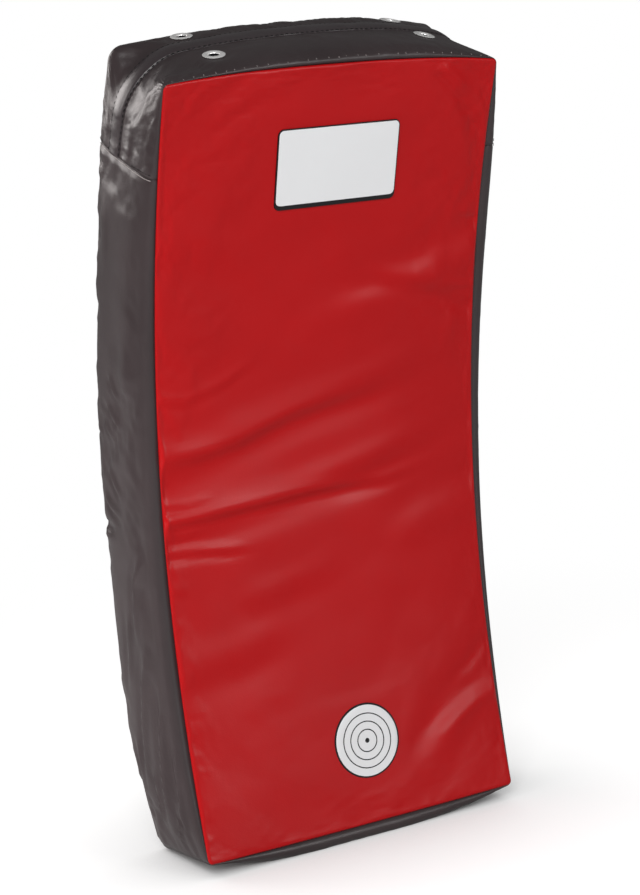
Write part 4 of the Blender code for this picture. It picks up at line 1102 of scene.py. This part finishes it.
def build_flap():
    marks = stations(LEFT_SEAM + 0.0004, right_station(FLAP_END_DROP, ZIP_DEPTH), 0.0030)
    dense = FLAP_SEWN + np.linspace(-0.09, 0.09, 9)
    dense = dense[dense < 1]
    share = np.unique(np.round(np.concatenate([np.linspace(-1, 1, 21), dense, -dense]), 4))
    q, depth = np.meshgrid(marks, ZIP_DEPTH + share * FLAP_WIDTH / 2, indexing="ij")
    base = gusset(q, depth)
    run = top_run(q)
    profile = np.cos(share * math.pi / 2) ** 0.8
    sewn = np.exp(-(((np.abs(share) - FLAP_SEWN) / FLAP_SEAM_WIDTH) ** 2))
    level = FLAP_LEVEL + FLAP_RISE * profile - FLAP_SEAM_DIP * sewn
    waver = 0.0005 * soft_noise(run, depth, size=0.018, seed=71)
    waver += 0.0006 * soft_noise(run, depth * 0.3, size=0.045, seed=72)
    inwards = (1 - np.abs(share))[None, :] * FLAP_WIDTH / 2
    gather = puckers(run, inwards, 0.52, count=90, seed=73, reach=(0.003, 0.009), width=(0.0010, 0.0022),
                     height=0.0006)
    level = level[None, :] + (waver + gather) * profile[None, :] ** 0.5
    points = base + normals_of(base) * level[..., None]
    made = grid_object("closure_flap", points, FLAP_BLACK, FLAP_THICKNESS)
    dress(made, "zip_flap")
    normals = normals_of(points)
    for label, side in (("front", -1), ("rear", 1)):
        column = int(np.argmin(np.abs(share - side * FLAP_SEWN)))
        line = points[:, column] + normals[:, column] * 0.0001
        thread = stitches_along(line, normals[:, column], pitch=0.0054, length=0.0042, radius=0.00075,
                                seed=80 + side)
        sew(f"flap_stitches_{label}", thread, DARK_THREAD)


def build_eyelets():
    for (row, side), matrix in EYELET_FRAMES.items():
        ring = lathe(f"eyelet_ring_{row}_{side}", EYELET_RING, matrix, NICKEL, smooth_angle=60)
        dress(ring, f"eyelet_{row}_{side}")
        # The near-black cup under each hole is painted shade, standing for the dark inside of the eyelet.
        well = lathe(f"eyelet_shade_cup_{row}_{side}", EYELET_SHADE_CUP, matrix, PRINT_AND_SHADE_BLACK, smooth_angle=40)
        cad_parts[f"washer_{row}_{side}"].data.materials[0] = NICKEL


# Plates on the face


def rounded_rectangle(centre, size, corner, steps=8):
    points = []
    for sign_x, sign_v, start in ((1, 1, 0), (-1, 1, 90), (-1, -1, 180), (1, -1, 270)):
        for k in range(steps + 1):
            turn = math.radians(start + 90 * k / steps)
            points.append((centre[0] + sign_x * (size[0] / 2 - corner) + corner * math.cos(turn),
                           centre[1] + sign_v * (size[1] / 2 - corner) + corner * math.sin(turn)))
    return points


def circle(centre, radius, steps=96):
    turns = [2 * math.pi * k / steps for k in range(steps)]
    return [(centre[0] + radius * math.cos(t), centre[1] + radius * math.sin(t)) for t in turns]


def laid_plate(name, outer, levels, material, hole=None, rings=10, bevel=0.0003, face=0.0):
    """A thin sheet on the struck face or the back, between two levels above it, rounded at its edge."""
    bm = bmesh.new()
    low, high = levels
    outer = np.asarray(outer)
    centre = outer.mean(axis=0)
    inner = centre + (outer - centre) * 1e-3 if hole is None else np.asarray(hole)
    rim = bevel / np.linalg.norm(outer - inner, axis=1).mean()
    thick = high - low
    shares = [k / rings for k in range(rings) if k / rings < 1 - rim] + [1 - rim, 1 - rim * 0.3, 1.0]
    drops = [0.0] * (len(shares) - 2) + [0.3 * thick, 0.65 * thick]
    if hole is not None:
        shares = [0.0, rim * 0.3, rim] + shares[1:]
        drops = [0.65 * thick, 0.3 * thick, 0.0] + drops[1:]
    sign = -1 if face == 0 else 1

    def loop(line, level):
        return ring_of(bm, place(line[:, 0], face + sign * level, line[:, 1]))

    loops = [loop(inner + (outer - inner) * share, high - drop) for share, drop in zip(shares, drops)]
    loops.append(loop(outer, low))
    if hole is not None:
        loops.insert(0, loop(inner, low))
    for first, second in zip(loops, loops[1:]):
        bridge(bm, first, second)
    if hole is None:
        bm.faces.new(loops[0])
    return from_bmesh(name, bm, material, smooth_angle=30)


def build_label():
    width, height = LABEL_SIZE
    backing_centre = (LABEL_CENTRE[0], LABEL_CENTRE[1] - LABEL_DROP_EDGE / 2)
    backing = rounded_rectangle(backing_centre, (width, height + LABEL_DROP_EDGE), LABEL_CORNER)
    made = laid_plate("plate_backing", backing, BACKING_LEVELS, PRINT_AND_SHADE_BLACK)
    dress(made, "label_backing")
    inside = (width - 2 * LABEL_RIM, height - 2 * LABEL_RIM)
    face = rounded_rectangle(LABEL_CENTRE, inside, LABEL_CORNER - LABEL_RIM)
    made = laid_plate("plate_face", face, LABEL_LEVELS, WHITE)
    dress(made, "label_face")


def build_mark():
    """A plain scoring disc: white, with a dark edge, thin dark rings and a dot."""
    edge = laid_plate("score_outline", circle(MARK_CENTRE, MARK_RADIUS), SCORE_EDGE_LEVELS, PRINT_AND_SHADE_BLACK)
    disc = laid_plate("score_disc", circle(MARK_CENTRE, MARK_RADIUS - SCORE_EDGE), SCORE_LEVELS, WHITE)
    dress(disc, "target_patch")
    for number, radius in enumerate(SCORE_RINGS):
        outer = circle(MARK_CENTRE, radius)
        inner = circle(MARK_CENTRE, radius - SCORE_LINE)
        name = f"score_ring_{number}"
        ring = laid_plate(name, outer, SCORE_PRINT_LEVELS, PRINT_AND_SHADE_BLACK, inner, rings=2, bevel=SCORE_LINE / 8)
    dot = laid_plate("score_middle", circle(MARK_CENTRE, SCORE_DOT), SCORE_PRINT_LEVELS, PRINT_AND_SHADE_BLACK)


# Inside


def foam_face(bm, depth):
    """One face of a foam block as a grid. Returns the vertices of its edge in order."""
    low, high = chord_ends(depth)
    low, high = low + FOAM_FOOT_GAP, high - FOAM_TOP_GAP
    grid = []
    for v in np.linspace(low, high, 61):
        beyond = max(v - (high - FOAM_CORNER), 0)
        inset = math.sqrt(max(FOAM_CORNER ** 2 - beyond ** 2, 0))
        half = WIDTH / 2 - FOAM_SIDE_GAP - FOAM_CORNER + inset
        points = place(np.linspace(-half, half, 19), depth, v)
        points[:, 2] = np.maximum(points[:, 2], FOAM_GROUND_GAP)
        grid.append(ring_of(bm, points))
    for lower, upper in zip(grid, grid[1:]):
        for k in range(len(lower) - 1):
            bm.faces.new((lower[k], lower[k + 1], upper[k + 1], upper[k]))
    right = [row[-1] for row in grid[:-1]]
    left = [row[0] for row in grid[:0:-1]]
    return grid[0][:-1] + right + grid[-1][:0:-1] + left


def build_foam():
    """Foam blocks a little smaller than the solid model's, so that the cover's folds stay clear of them."""
    for name, solid, near, far, material, slot_name in (
        ("strike_block", "strike_foam", 0.0085, 0.0318, FIRM_FOAM, "firm_foam"),
        ("core_block", "core_foam", 0.0322, 0.0614, SOFT_FOAM, "soft_foam"),
        ("back_block", "back_foam", 0.0618, DEPTH - 0.0065, FIRM_FOAM, "firm_foam"),
    ):
        bm = bmesh.new()
        near_edge = foam_face(bm, near)
        far_edge = foam_face(bm, far)
        bridge(bm, near_edge, far_edge)
        dress(from_bmesh(name, bm, material), solid)


def add_tooth(bm, matrix, side):
    """One tooth, narrower at the tip that faces the other row."""
    made = bmesh.ops.create_cube(bm, size=1)["verts"]
    bmesh.ops.scale(bm, verts=made, vec=TOOTH_SIZE)
    bmesh.ops.scale(bm, verts=[vert for vert in made if vert.co.y * side < 0], vec=TOOTH_TIP)
    bmesh.ops.transform(bm, verts=made, matrix=matrix)


def build_zip():
    marks = stations(LEFT_SEAM + ZIP_END, RIGHT_SEAM - ZIP_END, 0.002)
    line = gusset(marks, np.full(marks.shape, ZIP_DEPTH))
    run = np.concatenate([[0], np.cumsum(np.linalg.norm(np.diff(line, axis=0), axis=1))])
    for label, side, shift in (("front", -1, 0.0), ("rear", 1, 0.5)):
        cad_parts[f"zip_tape_{label}"].data.materials[0] = TAPE
        bm = bmesh.new()
        for k in range(int(run[-1] / TOOTH_PITCH) - 1):
            station = np.interp((k + 0.5 + shift) * TOOTH_PITCH, run, marks)
            add_tooth(bm, frame_on(station, ZIP_DEPTH + side * TOOTH_OFFSET, TOOTH_LEVEL), side)
        dress(from_bmesh(f"zip_chain_{label}", bm, TEETH), f"zip_teeth_{label}")
    for solid, width, material in (
        ("zip_slider", 0.00035, NICKEL),
        ("zip_pull_tab", 0.0003, NICKEL),
        ("zip_stop_left", 0.0003, TEETH),
        ("zip_stop_right", 0.0003, TEETH),
    ):
        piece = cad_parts[solid]
        edge = piece.modifiers.new("edges", "BEVEL")
        edge.width = width
        edge.segments = 3
        edge.limit_method = "ANGLE"
        piece.data.materials[0] = material


# Handles


def strap_level(x):
    run = (HANDLE_SPAN / 2 - np.abs(x)) / STRAP_RISE_RUN
    return STRAP_FOOT_LEVEL + (STRAP_RISE - STRAP_FOOT_LEVEL) * smooth(run)


def band(name, xs, levels, v, body):
    """A woven band along x at levels above the back, with rounded selvedges."""
    bm = bmesh.new()
    section = [(side * across, side * lift) for side in (-1, 1) for across, lift in SELVEDGE]
    offsets = np.array([across * STRAP_WIDTH / 2 for across, _ in section])
    lifts = np.array([lift * STRAP_THICKNESS / 2 for _, lift in section])
    rings = [ring_of(bm, place(x, DEPTH + level + lifts, v + offsets)) for x, level in zip(xs, levels)]
    for first, second in zip(rings, rings[1:]):
        bridge(bm, first, second)
    bm.faces.new(rings[0])
    bm.faces.new(rings[-1])
    return from_bmesh(name, bm, WEBBING, body, smooth_angle=50)


def build_handle(name, v):
    body = f"{name}_handle"
    xs = np.linspace(-HANDLE_SPAN / 2, HANDLE_SPAN / 2, 81)
    made = band(f"{name}_band", xs, strap_level(xs), v, body)
    dress(made, f"{name}_strap")
    build_grip(name, v, body)
    for side, sign in (("left", -1), ("right", 1)):
        build_anchor(name, v, side, sign)


def build_anchor(name, v, side, sign):
    """One sewn end of a handle: the webbing's foot, its patch and the stitches that hold both."""
    inner = HANDLE_SPAN / 2 + STRAP_GAP
    foot = inner + STRAP_FOOT_RAMP
    ramp = np.linspace(0, 1, 13)
    xs = np.concatenate([inner + STRAP_FOOT_RAMP * ramp, foot + STRAP_SEWN_LENGTH * ramp[1:]])
    drop = STRAP_FOOT_LEVEL + (STRAP_SEWN_LEVEL - STRAP_FOOT_LEVEL) * smooth(ramp)
    levels = np.concatenate([drop, np.full(12, STRAP_SEWN_LEVEL)])
    made = band(f"{name}_band_{side}_end", sign * xs, levels, v, "shield")
    dress(made, f"{name}_strap_{side}_end")

    middle = (sign * (HANDLE_SPAN / 2 + PATCH_SIZE[0] / 2 - STRAP_FOOT_RAMP), v)
    corners = rounded_rectangle(middle, PATCH_SIZE, PATCH_CORNER)
    patch = laid_plate(f"{name}_anchor_{side}", corners, PATCH_LEVELS, BLACK, rings=12, face=DEPTH)
    dress(patch, f"{name}_patch_{side}")
    inside = [size - 2 * PATCH_STITCH_INSET for size in PATCH_SIZE]
    border = rounded_rectangle(middle, inside, PATCH_CORNER - PATCH_STITCH_INSET)
    sew_on_back(f"{name}_anchor_stitches_{side}", [border + border[:1]], PATCH_STITCH_LEVEL)

    near = sign * (foot + BOX_INSET)
    far = sign * (foot + STRAP_SEWN_LENGTH - BOX_INSET)
    top = v + STRAP_WIDTH / 2 - BOX_MARGIN
    low = v - STRAP_WIDTH / 2 + BOX_MARGIN
    box = [(near, low), (far, low), (far, top), (near, top), (near, low)]
    cross = [[(near, low), (far, top)], [(near, top), (far, low)]]
    sew_on_back(f"{name}_box_stitches_{side}", [box] + cross, STRAP_SEWN_LEVEL + STRAP_THICKNESS / 2)


def sew_on_back(name, lines, level):
    """Rows of stitches over the back, along lines of (x, v)."""
    whole = bmesh.new()
    for line in lines:
        line = np.asarray(line)
        dense = [start + (end - start) * k / 8 for start, end in zip(line, line[1:]) for k in range(8)]
        dense = np.array(dense + [line[-1]])
        points = place(dense[:, 0], DEPTH + level, dense[:, 1])
        lifted = place(dense[:, 0], DEPTH + level + 0.001, dense[:, 1])
        normals = (lifted - points) / 0.001
        row = stitches_along(points, normals, pitch=0.0042, length=0.0032, radius=0.00040, seed=90)
        mesh = bpy.data.meshes.new("row")
        row.to_mesh(mesh)
        row.free()
        whole.from_mesh(mesh)
        bpy.data.meshes.remove(mesh)
    sew(name, whole, DARK_THREAD)


def build_grip(name, v, body):
    """A padded sleeve with drawn-in ends, a seam along its inner side and soft folds across it."""
    lengths = np.linspace(-1, 1, 61)
    turns = np.linspace(0, 2 * math.pi, 65)[:-1]
    along, turn = np.meshgrid(lengths, turns, indexing="ij")
    side, lift = np.cos(turn), np.sin(turn)
    square = (np.abs(side) ** GRIP_SQUARE + np.abs(lift) ** GRIP_SQUARE) ** (-1 / GRIP_SQUARE)
    end = np.abs(along) ** 5
    wide = GRIP_WIDTH / 2 * (1 - GRIP_END_NARROWING * end)
    thick = GRIP_THICKNESS / 2 * (1 - GRIP_END_THINNING * end)
    fold = 0.0005 * soft_noise(along * GRIP_LENGTH / 2, turn * 0.010, size=0.009, seed=95)
    fold -= GRIP_SEAM_DIP * np.exp(-((np.abs(turn - 1.5 * math.pi) / GRIP_SEAM_TURN) ** 2))
    for spot in (-GRIP_TUCK_AT, GRIP_TUCK_AT):
        fold -= GRIP_TUCK_DIP * np.exp(-(((along - spot) / GRIP_TUCK_WIDTH) ** 2))
    x = along * GRIP_LENGTH / 2
    off = strap_level(x) + lift * (square * thick + fold)
    bm = bmesh.new()
    rings = [ring_of(bm, row) for row in place(x, DEPTH + off, v + side * (square * wide + fold))]
    flat = np.maximum(np.abs(side[0]), np.abs(lift[0]))
    mouth_v = v + side[0] / flat * (STRAP_WIDTH / 2 + STRAP_GAP)
    mouth_depth = DEPTH + STRAP_RISE + lift[0] / flat * (STRAP_THICKNESS / 2 + STRAP_GAP)
    mouths = [ring_of(bm, place(sign * GRIP_LENGTH / 2 * 0.985, mouth_depth, mouth_v)) for sign in (-1, 1)]
    for first, second in zip(rings, rings[1:]):
        bridge(bm, first, second)
    bridge(bm, rings[0], mouths[0])
    bridge(bm, rings[-1], mouths[1])
    bridge(bm, mouths[0], mouths[1])
    made = from_bmesh(f"{name}_padded_grip", bm, GRIP_BLACK, body, smooth_angle=60)
    dress(made, f"{name}_grip")


# Seams


def sew_on_gusset(name, station, depths, material, level, **thread):
    """A row of stitches across the gusset, at one station."""
    q = np.full(depths.shape, station)
    normals = outward(q, depths)
    row = stitches_along(gusset(q, depths) + normals * level, normals, **thread)
    sew(name, row, material)


def build_seam_threads():
    """Rows of dark stitches beside the cross seams, a pale row below each that paints the highlight on the
    rolled edge of the lower panel, and the ends of thread that show in the top front seam.
    """
    front = np.linspace(0.004, ZIP_DEPTH - 0.013, 60)
    rear = np.linspace(ZIP_DEPTH + 0.013, DEPTH - 0.004, 40)
    whole = np.linspace(0.004, DEPTH - 0.004, 80)
    for label, station, sign in (("left", LEFT_SEAM, 1), ("right", RIGHT_SEAM, -1)):
        above, below = station + sign * 0.0042, station - sign * 0.0020
        for part, depths in (("front", front), ("rear", rear)):
            name = f"cross_stitches_{label}_{part}"
            sew_on_gusset(name, above, depths, DARK_THREAD, level=0.0002,
                          pitch=0.0044, length=0.0030, radius=0.00034, seed=61)
        # Pale stitches just below the cross seam: a painted highlight on the lower panel's rolled edge.
        sew_on_gusset(f"cross_edge_highlight_{label}", below, whole, PALE_THREAD_AND_HIGHLIGHT, level=0.0004,
                      pitch=0.0030, length=0.0029, radius=0.00032, seed=63)
    rng = np.random.default_rng(62)
    bm = bmesh.new()
    quarter = Matrix.Rotation(math.pi / 2, 4, "Z")
    for x in np.arange(-0.168, 0.170, 0.0105):
        station = top_station(x + rng.uniform(-0.002, 0.002), 0.003)
        depth = 0.0030 + rng.uniform(0, 0.0010)
        add_stitch(bm, frame_on(station, depth) @ quarter, length=0.0016, radius=0.00028)
    sew("seam_thread_ends", bm, PALE_THREAD_AND_HIGHLIGHT)


# Stage


def floor_look():
    """Matt paper with the shield's shadow, seen a little lifted near the shield by a glow and plain white far
    off. Ambient occlusion dims the glow close to the shield: a painted contact shadow.
    """
    made = bpy.data.materials.new("floor_look")
    made.use_nodes = True
    tree = made.node_tree
    tree.nodes.clear()
    matt = node(tree, "BsdfDiffuse", FLOOR_TONE)
    # Painted contact shadow: ambient occlusion dims the floor's glow where the shield stands close.
    open_share = node(tree, "AmbientOcclusion", Distance=FLOOR_SHADE_REACH, samples=8).outputs["AO"]
    lift = node(tree, "Math", open_share, FLOOR_LIFT, operation="MULTIPLY")
    lifted = node(tree, "AddShader", matt, node(tree, "Emission", Strength=lift))
    place_on_floor = node(tree, "TexCoord").outputs["Object"]
    away = node(tree, "VectorMath", place_on_floor, operation="LENGTH").outputs["Value"]
    far = node(tree, "MapRange", away, *FLOOR_FADE, interpolation_type="SMOOTHSTEP")
    faded = node(tree, "MixShader", far, lifted, node(tree, "Emission", Strength=1.0))
    ray = node(tree, "LightPath").outputs
    shine = node(tree, "Math", ray["Is Glossy Ray"], FLOOR_SHINE, operation="MULTIPLY")
    seen = node(tree, "Math", ray["Is Camera Ray"], shine, operation="MAXIMUM")
    seen = node(tree, "Math", seen, ray["Is Transmission Ray"], operation="MAXIMUM")
    node(tree, "OutputMaterial", node(tree, "MixShader", seen, matt, faded))
    return made


def build_floor():
    mesh = bpy.data.meshes.new("floor")
    corners = [(x * FLOOR_REACH, y * FLOOR_REACH, 0) for x, y in ((-1, -1), (1, -1), (1, 1), (-1, 1))]
    mesh.from_pydata(corners, [], [(0, 1, 2, 3)])
    mesh.materials.append(floor_look())
    floor = bpy.data.objects.new("floor", mesh)
    bpy.context.scene.collection.objects.link(floor)


def build_world():
    """A faint even light, which the eye sees as plain white."""
    world = bpy.data.worlds.new("studio")
    bpy.context.scene.world = world
    world.use_nodes = True
    tree = world.node_tree
    tree.nodes.clear()
    faint = node(tree, "Background", WHITE_PAPER, WORLD_LIGHT)
    plain = node(tree, "Background", WHITE_PAPER, 1.0)
    to_eye = node(tree, "LightPath").outputs["Is Camera Ray"]
    node(tree, "OutputWorld", node(tree, "MixShader", to_eye, faint, plain))


def build_lamps():
    for name, spot, size, power, tone, in_gloss in LAMPS:
        lamp = bpy.data.lights.new(name, "AREA")
        lamp.shape = "RECTANGLE"
        lamp.size, lamp.size_y = size
        lamp.energy = power
        lamp.color = tone
        made = bpy.data.objects.new(name, lamp)
        made.location = spot
        made.rotation_euler = (Vector(LAMP_AIM) - Vector(spot)).to_track_quat("-Z", "Y").to_euler()
        made.visible_glossy = in_gloss
        bpy.context.scene.collection.objects.link(made)


def build_camera():
    lens = bpy.data.cameras.new("camera")
    lens.lens = CAMERA_LENS
    lens.sensor_width = CAMERA_SENSOR
    made = bpy.data.objects.new("camera", lens)
    turn = Matrix((CAMERA_RIGHT, CAMERA_UP, CAMERA_BACK)).transposed().to_4x4()
    made.matrix_world = Matrix.Translation(CAMERA_PLACE) @ turn
    bpy.context.scene.collection.objects.link(made)
    bpy.context.scene.camera = made


bpy.context.scene.view_settings.view_transform = "Standard"
build_camera()
build_front()
build_back()
build_side("left_side_cover", "left_side_panel", -0.49, LEFT_SEAM, LEFT_FOLDS, seed=41, fuller=0.0015)
build_side("right_side_cover", "right_side_panel", RIGHT_SEAM, BOTTOM_RIGHT + 0.49, (), seed=44, fuller=0.0)
build_bottom()
build_top("top_front_cover", "top_gusset_front", EDGE, ZIP_DEPTH - GUSSET_GAP, seed=101, steps=30)
build_top("top_rear_cover", "top_gusset_rear", ZIP_DEPTH + GUSSET_GAP, DEPTH - EDGE, seed=111, steps=20)
build_flap()
build_eyelets()
build_label()
build_mark()
build_foam()
build_zip()
for handle_name, handle_v in HANDLE_HEIGHTS.items():
    build_handle(handle_name, handle_v)
build_seam_threads()
build_floor()
build_world()
build_lamps()
